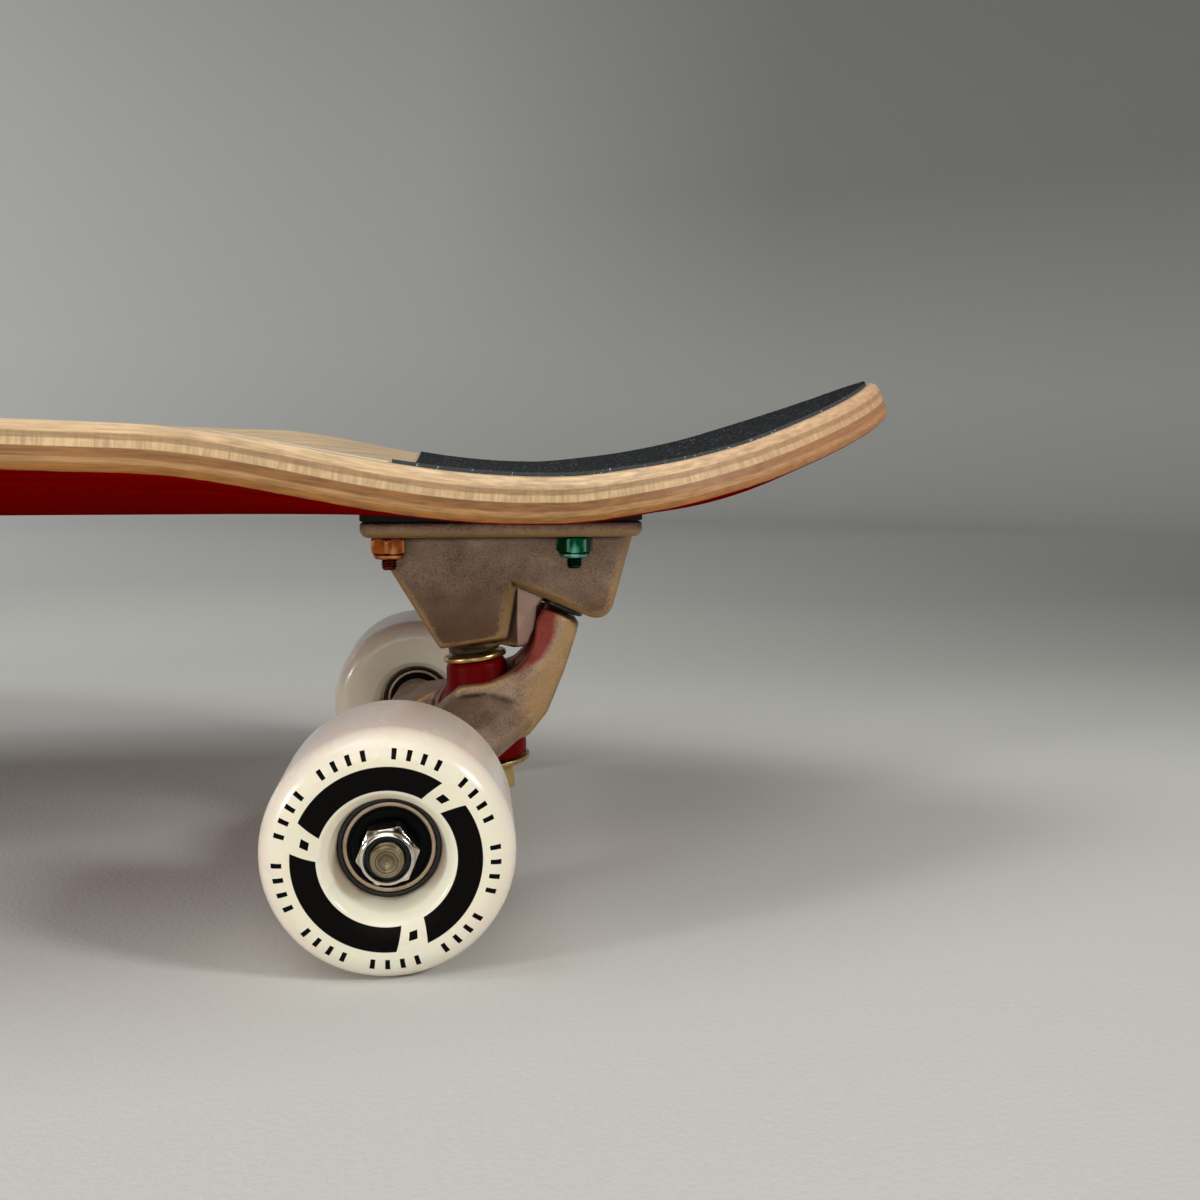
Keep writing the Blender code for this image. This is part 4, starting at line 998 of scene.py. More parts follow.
class Finish(Enum):
    """The finishes that many pieces share, each made once and tied to a slot of the record."""

    RISER = ("riser", PlasticFinish("black_riser", screen(11, 11, 12), 0.62, dusty=0.04, shine=0.3))
    CUP = ("cup_plastic", PlasticFinish("black_acetal", screen(20, 19, 20), 0.38))
    BRONZE = ("bronze_casting", CastingFinish())
    GOLD = ("gold_steel", MetalFinish("brassy_steel", screen(205, 172, 112), 0.26, screen(150, 118, 74)))
    DARK_STEEL = ("dark_steel", MetalFinish("oiled_steel", screen(120, 112, 104), 0.34, screen(82, 72, 62)))
    RED = ("red_urethane", PlasticFinish("deep_red_urethane", screen(104, 1, 2), 0.36, dusty=0.0,
                                         shine=0.05))
    AXLE = ("axle_steel", MetalFinish("turned_steel", screen(158, 142, 116), 0.32, screen(84, 70, 50),
                                      rings=0.8))
    CHROME = ("chrome", AnodisedFinish("plated_chrome", screen(252, 250, 246), screen(196, 188, 174),
                                       screen(70, 68, 62), (260.0, 260.0, 200.0), 0.2))
    NYLON = ("chrome", PlasticFinish("nylon_ring", screen(20, 21, 24), 0.34, dusty=0.04, shine=0.3))
    CORE = ("core_plastic", PlasticFinish("black_core", screen(14, 14, 16), 0.24, dusty=0.05))
    RACE = ("axle_steel", MetalFinish("race_steel", screen(196, 174, 152), 0.3, screen(156, 134, 116)))
    SEAL = ("bearing_seal", PlasticFinish("black_rubber_seal", screen(4, 6, 9), 0.34, dusty=0.0,
                                          shine=0.08))
    COPPER = ("copper_anodised", AnodisedFinish("copper_dye", screen(228, 152, 96), screen(166, 82, 38),
                                                screen(120, 52, 22)))
    GREEN = ("green_anodised", AnodisedFinish("green_dye", screen(124, 208, 188), screen(14, 92, 54),
                                              screen(6, 62, 26)))
    BLUE = ("blue_anodised", AnodisedFinish("blue_dye", screen(140, 190, 250), screen(34, 84, 180),
                                            screen(12, 34, 96)))
    VIOLET = ("violet_anodised", AnodisedFinish("violet_dye", screen(214, 160, 244), screen(122, 54, 168),
                                                screen(60, 22, 92)))

    @property
    def slot(self) -> str:
        """The record's material slot."""
        return self.value[0]

    @cache
    def material(self) -> bpy.types.Material:
        """The finish's material, made when it is first asked for."""
        return self.value[1].build()


def put(name: str, mesh: bpy.types.Mesh, material: bpy.types.Material, body: str,
        place: Matrix = Matrix.Identity(4), stands_for: Sequence[str] = ()) -> bpy.types.Object:
    """Adds a finished piece to the board.

    Args:
        name: The piece's name.
        mesh: Its mesh, in its own frame.
        material: Its material.
        body: The CAD body that it rides on.
        place: Where its own frame lies in the board's.
        stands_for: CAD nodes that it replaces.

    Returns:
        The object.
    """
    if not mesh.materials:
        mesh.materials.append(material)
    made = in_scene(name, mesh, place)
    if mesh.materials[0] != material:
        made.material_slots[0].link = "OBJECT"
        made.material_slots[0].material = material
    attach(made, body)
    if stands_for:
        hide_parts(*stands_for)
    LOG.info("%s: %d faces on %s", name, len(mesh.polygons), body)
    return made


def dressed(name: str, mesh: bpy.types.Mesh, finish: Finish, body: str, place: Matrix,
            stands_for: Sequence[str] = ()) -> bpy.types.Object:
    """Adds a piece in one of the shared finishes.

    Args:
        name: The piece's name.
        mesh: Its mesh, in its own frame.
        finish: Its finish.
        body: The CAD body that it rides on.
        place: Where its own frame lies in the board's.
        stands_for: CAD nodes that it replaces.

    Returns:
        The object.
    """
    return put(name, mesh, finish.material(), body, place, stands_for)


# Deck


@dataclass
class Deck:
    """The pressed deck with its red underside, the grip on its tail and the clear film ahead of it."""

    rear_axle: float                # X of the axles
    front_axle: float
    top: float                      # Z of the top face in the flat middle
    tail_overhang: float = 146.2 * MM
    nose_overhang: float = 186.0 * MM
    width: float = 236.0 * MM
    thickness: float = 11.8 * MM
    rim_round: float = 2.6 * MM
    tail_taper: float = 238.8 * MM
    tail_powers: tuple[float, float] = (1.58, 1.59)
    nose_taper: float = 250.0 * MM
    nose_powers: tuple[float, float] = (2.3, 2.3)
    flat: float = 18.4 * MM
    concave_middle: float = 14.4 * MM
    concave_truck: float = 0.0
    concave_tail: float = 24.0 * MM
    concave_nose: float = 13.0 * MM
    concave_fade: float = 94.0 * MM
    concave_end_fade: float = 60.0 * MM
    truck_middle: float = 43.0 * MM
    kick_start: float = 65.0 * MM
    tail_kick: tuple[float, float] = (88.7 * MM, 23.6)      # radius, degrees
    nose_kick: tuple[float, float] = (200.0 * MM, 15.0)
    grip_thickness: float = 0.9 * MM
    grip_gap: float = 0.5 * MM
    grip_inset: float = 3.0 * MM
    grip_start: float = 2.0 * MM    # past the rear axle
    grit: float = 0.11 * MM
    film_thickness: float = 0.25 * MM
    film_gap: float = 0.12 * MM
    film_inset: float = 3.6 * MM
    sheet_gap: float = 0.8 * MM     # between the grip and the film
    rim_fade: float = 0.7 * MM      # width of the pale cut edge
    head_radius: float = 4.6 * MM
    bolt_radius: float = 2.4 * MM
    quarter_steps: int = 96
    straight_steps: int = 60

    @property
    def tail(self) -> float:
        """X of the tail's tip."""
        return self.rear_axle + self.tail_overhang

    @property
    def nose(self) -> float:
        """X of the nose's tip."""
        return self.front_axle - self.nose_overhang

    @property
    def seam(self) -> float:
        """X of the grip's straight front edge."""
        return self.rear_axle + self.grip_start

    def kick_rise(self, distance: np.ndarray, kick: tuple[float, float]) -> np.ndarray:
        """Height of an arc that turns up and then runs straight.

        Args:
            distance: From where the arc starts.
            kick: The arc's radius and the angle that it reaches.

        Returns:
            The heights.
        """
        radius, angle = kick[0], math.radians(kick[1])
        arc = radius * math.sin(angle)
        bent = radius - np.sqrt(radius ** 2 - np.clip(distance, 0, arc) ** 2)
        return bent + np.clip(distance - arc, 0, None) * math.tan(angle)

    def concave(self, x: np.ndarray) -> np.ndarray:
        """How far the rails stand above the middle at full width.

        Args:
            x: Places along the deck.

        Returns:
            The heights.
        """
        tailward = x > (self.rear_axle + self.front_axle) / 2
        past = np.where(tailward, x - self.rear_axle, self.front_axle - x) - self.truck_middle
        end = np.where(tailward, self.concave_tail, self.concave_nose)
        inner = self.smooth(-past / self.concave_fade) * (self.concave_middle - self.concave_truck)
        outer = self.smooth(past / self.concave_end_fade) * (end - self.concave_truck)
        return self.concave_truck + inner + outer

    def smooth(self, t: np.ndarray) -> np.ndarray:
        """A smooth step from 0 to 1."""
        t = np.clip(t, 0, 1)
        return t * t * (3 - 2 * t)

    def height(self, x: np.ndarray, y: np.ndarray) -> np.ndarray:
        """Height of the top face.

        Args:
            x: Places along the deck.
            y: Places across it.

        Returns:
            The heights.
        """
        rail = np.clip(np.abs(y) - self.flat, 0, None) / (self.width / 2 - self.flat)
        tail = self.kick_rise(x - self.rear_axle - self.kick_start, self.tail_kick)
        nose = self.kick_rise(self.front_axle - self.kick_start - x, self.nose_kick)
        return self.top + tail + nose + self.concave(x) * rail ** 2

    def normal(self, x: np.ndarray, y: np.ndarray) -> np.ndarray:
        """Unit vectors square to the top face.

        Args:
            x: Places along the deck.
            y: Places across it.

        Returns:
            The vectors, on the last axis.
        """
        step = 0.1 * MM
        slope_x = (self.height(x + step, y) - self.height(x - step, y)) / (2 * step)
        slope_y = (self.height(x, y + step) - self.height(x, y - step)) / (2 * step)
        found = np.stack([-slope_x, -slope_y, np.ones_like(slope_x)], axis=-1)
        return found / np.linalg.norm(found, axis=-1, keepdims=True)

    def pressed(self, blank: np.ndarray) -> np.ndarray:
        """Points of the flat blank, whose top face is 0, after the press.

        Args:
            blank: Points, with x, y and z on the last axis.

        Returns:
            The points on the pressed deck.
        """
        x, y, depth = blank[..., 0], blank[..., 1], blank[..., 2]
        return np.stack([x, y, self.height(x, y)], axis=-1) + self.normal(x, y) * depth[..., None]

    def unpressed(self, places: np.ndarray) -> np.ndarray:
        """The points of the flat blank that the press puts at those places.

        Args:
            places: Rows of x, y and z.

        Returns:
            Rows of x, y and depth.
        """
        x, y = places[:, 0].copy(), places[:, 1].copy()
        depth = np.zeros(len(places))
        for _ in range(6):
            normal = self.normal(x, y)
            foot = np.stack([x, y, self.height(x, y)], axis=1)
            depth = ((places - foot) * normal).sum(axis=1)
            x = places[:, 0] - normal[:, 0] * depth
            y = places[:, 1] - normal[:, 1] * depth
        return np.stack([x, y, depth], axis=1)

    def right_rail(self, inset: float) -> np.ndarray:
        """The outline from the tail's tip along the right rail to the nose's tip.

        Args:
            inset: How far the outline is drawn in.

        Returns:
            Rows of x and y.
        """
        turn = np.linspace(0, math.pi / 2, self.quarter_steps)
        half = self.width / 2 - inset

        def closing(taper: float, powers: tuple[float, float]) -> np.ndarray:
            """A quarter of the outline from the tip to the side, from the place of full width."""
            along = (taper - inset) * np.clip(np.cos(turn), 0, 1) ** (2 / powers[0])
            return np.stack([along, half * np.sin(turn) ** (2 / powers[1])], axis=1)

        tail = closing(self.tail_taper, self.tail_powers)
        tail[:, 0] = self.tail - self.tail_taper + tail[:, 0]
        nose = closing(self.nose_taper, self.nose_powers)[::-1]
        nose[:, 0] = self.nose + self.nose_taper - nose[:, 0]
        straight = np.linspace(tail[-1], nose[0], self.straight_steps)[1:-1]
        return np.vstack([tail, straight, nose])

    def ring(self, inset: float, depth: float, share: float = 1.0) -> np.ndarray:
        """A loop round the blank, drawn in towards the middle line by a share.

        Args:
            inset: From the deck's outline.
            depth: Its height, where the top face is 0.
            share: Of the way from the middle line out.

        Returns:
            Rows of x, y and z.
        """
        right = self.right_rail(inset)
        loop = np.vstack([right, (right * (1, -1))[-2:0:-1]])
        middle = (self.tail + self.nose) / 2
        spine = np.stack([middle + (loop[:, 0] - middle) * 0.9, np.zeros(len(loop))], axis=1)
        flat = spine + (loop - spine) * share
        return np.column_stack([flat, np.full(len(flat), depth)])

    def bolt_holes(self, bolts: Sequence[Vector]) -> list[bpy.types.Mesh]:
        """Cutters for the countersunk bolt holes.

        Args:
            bolts: Where the bolts' heads lie on the top face.

        Returns:
            One mesh for each bolt.
        """
        head, shank, deep = self.head_radius + 0.1 * MM, self.bolt_radius + 0.1 * MM, 20 * MM
        made = []
        for spot in bolts:
            cutter = turned("countersink", [(0, deep), (head, deep), (head, 0), (shank, shank - head),
                                            (shank, -deep), (0, -deep)], 36)
            cutter.transform(Matrix.Translation(spot))
            made.append(cutter)
        return made

    def board_mesh(self, bolts: Sequence[Vector]) -> bpy.types.Mesh:
        """The deck, with each vertex's place in the flat blank stored for its finish.

        Args:
            bolts: Where the bolts' heads lie on the top face.

        Returns:
            The mesh.
        """
        rings = [self.ring(self.rim_round, 0.0, share) for share in np.linspace(0, 1, 22)]
        arc = np.radians(np.linspace(0, 90, 7))
        upper = [(self.rim_round * (1 - math.sin(a)), -self.rim_round * (1 - math.cos(a)))
                 for a in arc[1:]]
        sides = np.linspace(-self.rim_round, -self.thickness + self.rim_round, 8)[1:-1]
        lower = [(inset, -self.thickness - depth) for inset, depth in reversed(upper)]
        rings += [self.ring(inset, depth) for inset, depth in upper]
        rings += [self.ring(0.0, depth) for depth in sides]
        rings += [self.ring(inset, depth) for inset, depth in lower]
        rings += [self.ring(self.rim_round, -self.thickness, share) for share in np.linspace(1, 0, 22)]
        mesh = woven("maple_deck", self.pressed(np.array(rings)), sharp=60)
        mesh = cut_from(mesh, self.bolt_holes(bolts))
        mark(mesh, "blank", self.unpressed(points_of(mesh)))
        return mesh

    def sheet_mesh(self, name: str, low: float, high: float, inset: float, towards_tail: bool,
                   columns: int, grit: float) -> bpy.types.Mesh:
        """A thin sheet on the top face, from a straight edge near the rear axle to one end of the deck.

        Args:
            name: The mesh's name.
            low: Height of its lower face above the deck.
            high: Height of its upper face.
            inset: From the deck's rim.
            towards_tail: Whether it covers the tail, or all the rest.
            columns: Points across the sheet.
            grit: How far its upper face is roughened.

        Returns:
            The mesh, with rim stored as 1 along the cut edge.
        """
        rail = self.right_rail(inset)
        order = np.argsort(rail[:, 0])
        if towards_tail:
            edge, end, tip, step = self.seam, rail[0, 0], self.tail, 0.9 * MM
        else:
            edge, end, tip, step = self.seam - self.sheet_gap, rail[-1, 0], self.nose, 4 * MM
        share = np.sin(np.linspace(0, math.pi / 2, int(abs(tip - edge) / step)))
        rows = edge + (end - edge) * share
        reach = np.interp(rows, rail[order, 0], rail[order, 1])
        across = np.linspace(-1, 1, columns)
        random = np.random.default_rng(7)
        rings = []
        for x, half in zip(rows, reach):
            y = half * across
            rough = random.uniform(-grit, grit, columns) * (np.abs(across) < 1) if grit else 0
            upper = np.column_stack([np.full(columns, x), y, high + rough * np.ones(columns)])
            lower = np.column_stack([np.full(columns, x), y, np.full(columns, low)])[::-1]
            rings.append(np.vstack([upper, lower]))
        blank = np.array(rings)
        mesh = woven(name, self.pressed(blank), sharp=60)
        spots = self.unpressed(points_of(mesh))
        half = np.interp(spots[:, 0], rail[order, 0], rail[order, 1])
        inward = half - (np.abs(spots[:, 1]) if towards_tail else -spots[:, 1])
        mark(mesh, "rim", self.smooth(1 - inward / self.rim_fade))
        return mesh

    def build(self, bolts: Sequence[Vector]) -> None:
        """Adds the deck, the grip and the film to the board.

        Args:
            bolts: Where the bolts' heads lie on the top face.
        """
        wood = WoodFinish(self.thickness, self.tail).build()
        put("maple_deck", self.board_mesh(bolts), wood, "board", stands_for=["deck"])
        holes = self.bolt_holes([spot for spot in bolts if spot.x > self.seam])
        seat = self.grip_gap - 0.45 * MM
        grip = self.sheet_mesh("grip_sheet", seat, seat + self.grip_thickness, self.grip_inset, True, 190,
                               self.grit)
        grip = cut_from(grip, holes)
        put("grip_sheet", grip, GripFinish().build(), "board", stands_for=["tail_grip"])
        film = self.sheet_mesh("clear_film", self.film_gap - 0.08 * MM, self.film_gap + self.film_thickness,
                               self.film_inset, False, 70, 0.0)
        film = cut_from(film, self.bolt_holes([spot for spot in bolts if spot.x < self.seam]))
        put("clear_film", film, FilmFinish().build(), "board")


# Trucks


def bevelled(name: str, corners: Sequence[tuple[float, float, float]], half: float,
             draft: Callable[[np.ndarray], np.ndarray] | None = None) -> bpy.types.Mesh:
    """A plate of an outline in XZ, centred on Y = 0, with a bevel of its own width along each edge.

    Args:
        name: The mesh's name.
        corners: Its corners as x, z and the width of the bevel on the edge that follows.
        half: Half the plate's width.
        draft: Gives the share of the width at arrays of heights.

    Returns:
        The mesh.
    """
    line = np.array([corner[:2] for corner in corners])
    width = np.array([corner[2] for corner in corners])
    edge = np.roll(line, -1, axis=0) - line
    area = np.sum(line[:, 0] * np.roll(line[:, 1], -1) - line[:, 1] * np.roll(line[:, 0], -1))
    inward = np.stack([-edge[:, 1], edge[:, 0]], axis=1) * np.sign(area)
    inward /= np.linalg.norm(inward, axis=1, keepdims=True)
    inner = []
    for i in range(len(line)):
        sides = np.array([inward[i - 1], inward[i]])
        reach = np.array([inward[i - 1] @ line[i] + width[i - 1], inward[i] @ line[i] + width[i]])
        inner.append(np.linalg.solve(sides, reach))
    bevel_slope = 0.85
    deep = bevel_slope * np.maximum(width, np.roll(width, 1))
    face = np.array(inner)
    rings = []
    for flat, y in ((face, half), (line, half - deep), (line, deep - half), (face, -half)):
        share = draft(flat[:, 1]) if draft else np.ones(len(flat))
        rings.append(np.column_stack([flat[:, 0], y * share, flat[:, 1]]))
    return woven(name, np.array(rings), sharp=20)


class Casting:
    """A cast part: solids melted into one by a fine remesh, with its edges worn round."""

    def __init__(self, name: str, solids: Sequence[bpy.types.Mesh], voxel: float = 0.55 * MM) -> None:
        """Joins the solids, which may overlap.

        Args:
            name: The casting's name.
            solids: Closed meshes in the truck's own frame.
            voxel: Size of the remesh's cells.
        """
        work = bmesh.new()
        for solid in solids:
            work.from_mesh(solid)
        self.mesh = mesh_of(name, work)
        self.name = name
        self.voxel = voxel

    def finished(self, rounds: int = 6, reach: int = 14) -> bpy.types.Mesh:
        """Remeshes and rounds the casting, and finds where it is worn or hollow.

        Args:
            rounds: Smoothing steps that round the edges.
            reach: Further steps whose pull tells edges from corners.

        Returns:
            The mesh. The casting then holds wear and hollow for each of its vertices.
        """
        work = in_scene("casting", self.mesh)
        step = work.modifiers.new("Remesh", "REMESH")
        step.mode = "VOXEL"
        step.voxel_size = self.voxel
        mesh = baked(work)
        mesh.name = self.name
        places = self.smoothed(mesh, points_of(mesh), rounds)
        set_points(mesh, places)
        blurred = self.smoothed(mesh, places, reach)
        bend = ((blurred - places) * normals_of(mesh)).sum(axis=1)
        full = 0.2 * MM
        self.wear = np.clip(-bend / full, 0, 1)
        self.hollow = np.clip(bend / full, 0, 1)
        mesh.shade_smooth()
        return mesh

    def smoothed(self, mesh: bpy.types.Mesh, places: np.ndarray, rounds: int) -> np.ndarray:
        """The places after each vertex has moved halfway to its neighbours' middle some times.

        Args:
            mesh: The mesh, for its edges.
            places: Where its vertices are.
            rounds: How many times they move.

        Returns:
            The new places.
        """
        ends = np.empty(len(mesh.edges) * 2, np.int32)
        mesh.edges.foreach_get("vertices", ends)
        first, second = ends[0::2], ends[1::2]
        count = len(places)
        degree = np.bincount(first, minlength=count) + np.bincount(second, minlength=count)
        for _ in range(rounds):
            total = np.empty_like(places)
            for axis in range(3):
                column = places[:, axis]
                total[:, axis] = (np.bincount(first, column[second], count)
                                  + np.bincount(second, column[first], count))
            places = places + 0.5 * (total / degree[:, None] - places)
        return places


@dataclass
class TruckForm:
    """Sizes of a truck in its own frame, as the CAD has them."""

    flange: tuple[float, float, float] = (-11.7 * MM, 70.2 * MM, 28.0 * MM)     # inner X, outer X, half
    flange_corner: float = 4.5 * MM
    flange_top: float = 71.9 * MM
    flange_thickness: float = 4.5 * MM
    pad_thickness: float = 2.2 * MM
    notch: tuple[float, float] = (33.7 * MM, 51.4 * MM)
    pivot_face: float = math.radians(23.4)
    heel_x: float = 55.6 * MM
    heel_round: float = 5.5 * MM
    outer_angle: float = math.radians(17.0)     # of the block's outer side, from upright
    block_half: tuple[float, float] = (12.0 * MM, 14.2 * MM)    # half width low and high
    block_top: tuple[float, float] = (-11.4 * MM, 69.6 * MM)    # inner and outer X under the flange
    block_seat: tuple[float, float] = (10.4 * MM, 30.9 * MM)    # inner and outer X of its lower face
    seat_height: float = 23.2 * MM              # of the block's lower face, along the kingpin
    rib: tuple[float, float] = (4.5 * MM, 6.8 * MM)             # half width, reach
    boss: float = 7.8 * MM
    pivot: tuple[float, float] = (49.6 * MM, 47.5 * MM)
    ball: float = 4.7 * MM
    cup_wall: float = 1.3 * MM
    cup_lip: tuple[float, float] = (7.0 * MM, 1.5 * MM)         # radius, height
    ring: tuple[float, float] = (23.2 * MM, 11.0 * MM)
    kingpin_tilt: float = math.radians(7.0)
    kingpin: float = 4.75 * MM
    kingpin_head: tuple[float, float, float] = (7.8 * MM, 4.5 * MM, 2.6 * MM)   # radius, height, depth
    kingpin_socket: tuple[float, float] = (8.0 * MM, 3.0 * MM)  # across, depth
    past_nut: float = 3.0 * MM
    kingpin_nut: tuple[float, float] = (14.0 * MM, 7.8 * MM)    # across, height
    ring_above: float = 4.0 * MM
    ring_below: float = 6.4 * MM
    top_washer: tuple[float, float] = (9.7 * MM, 1.7 * MM)      # radius, thickness
    top_bushing: tuple[float, float] = (8.8 * MM, 12.8 * MM)    # radius under the washer, height
    bushing: float = 12.5 * MM
    bottom_bushing: float = 7.4 * MM
    bottom_washer: tuple[float, float] = (12.9 * MM, 1.7 * MM)
    hanger: float = 76.0 * MM       # half width
    axle: float = 4.0 * MM
    washer: tuple[float, float] = (5.9 * MM, 1.0 * MM)
    washer_bore: float = 4.1 * MM
    axle_nut: tuple[float, float] = (13.0 * MM, 6.2 * MM)
    collar: tuple[float, float] = (6.0 * MM, 1.8 * MM)
    past_axle_nut: float = 2.2 * MM
    hub: float = 24.0 * MM
    bearing: tuple[float, float, float] = (11.0 * MM, 7.0 * MM, 5.6 * MM)       # radius, width, inner race
    bolt_spread: float = 20.65 * MM
    bolt_rows: tuple[float, float] = (-3.6 * MM, 50.4 * MM)
    bolt: float = 2.4 * MM
    bolt_bore: float = 2.7 * MM
    bolt_thread: float = 14.0 * MM
    bolt_head: tuple[float, float] = (4.6 * MM, 2.2 * MM)       # radius, height
    bolt_socket: tuple[float, float] = (3.0 * MM, 1.8 * MM)     # across, depth
    bolt_nut: tuple[float, float] = (9.5 * MM, 4.6 * MM)
    bolt_collar: tuple[float, float] = (4.5 * MM, 1.4 * MM)
    bolt_nut_height: float = 6.0 * MM           # with its collar
    past_bolt_nut: float = 3.2 * MM
    deck: float = 11.8 * MM         # thickness that the bolts go through

    @property
    def flange_outline(self) -> list[Corner]:
        """The flange's four corners with their fillets."""
        inner, outer, half = self.flange
        corner = self.flange_corner
        return [(outer, half, corner), (inner, half, corner), (inner, -half, corner),
                (outer, -half, corner)]

    @property
    def pad_bottom(self) -> float:
        """Height of the riser pad's lower face."""
        return self.flange_top + GAP

    @property
    def top_bushing_bottom(self) -> float:
        """Along the kingpin, from the ring's centre."""
        return self.ring_above + GAP

    @property
    def top_washer_bottom(self) -> float:
        """Along the kingpin, from the ring's centre."""
        return self.top_bushing_bottom + self.top_bushing[1] + GAP

    @property
    def bottom_bushing_top(self) -> float:
        """Along the kingpin, from the ring's centre."""
        return -self.ring_below - GAP

    @property
    def bottom_washer_top(self) -> float:
        """Along the kingpin, from the ring's centre."""
        return self.bottom_bushing_top - self.bottom_bushing - GAP

    @property
    def kingpin_nut_top(self) -> float:
        """Along the kingpin, from the ring's centre."""
        return self.bottom_washer_top - self.bottom_washer[1] - GAP

    @property
    def hub_inner(self) -> float:
        """Y of a hub's inner face."""
        return self.hanger + GAP + self.washer[1]

    @property
    def hub_outer(self) -> float:
        """Y of a hub's outer face."""
        return self.hub_inner + self.hub

    @property
    def wheel_y(self) -> float:
        """Y of a wheel's middle."""
        return (self.hub_inner + self.hub_outer) / 2

    def pivot_face_z(self, x: float) -> float:
        """Height of the baseplate's slanted face over the pivot."""
        return self.notch[1] - (x - self.notch[0]) * math.tan(self.pivot_face)

    def seat(self, x: float) -> tuple[float, float]:
        """The point at x on the block's lower face, which is square to the kingpin."""
        foot = self.kingpin_frame() @ Vector((0, 0, self.seat_height))
        return x, foot.z + (x - foot.x) * math.tan(self.kingpin_tilt)

    def kingpin_frame(self) -> Matrix:
        """Origin in the hanger's ring, +Z up the kingpin."""
        ring = Matrix.Translation((self.ring[0], 0, self.ring[1]))
        return ring @ Matrix.Rotation(-self.kingpin_tilt, 4, "Y")

    def cup_frame(self) -> Matrix:
        """Origin in the pivot ball's centre, +Z up into the baseplate."""
        ball = Matrix.Translation((self.pivot[0], 0, self.pivot[1]))
        return ball @ Matrix.Rotation(self.pivot_face, 4, "Y")


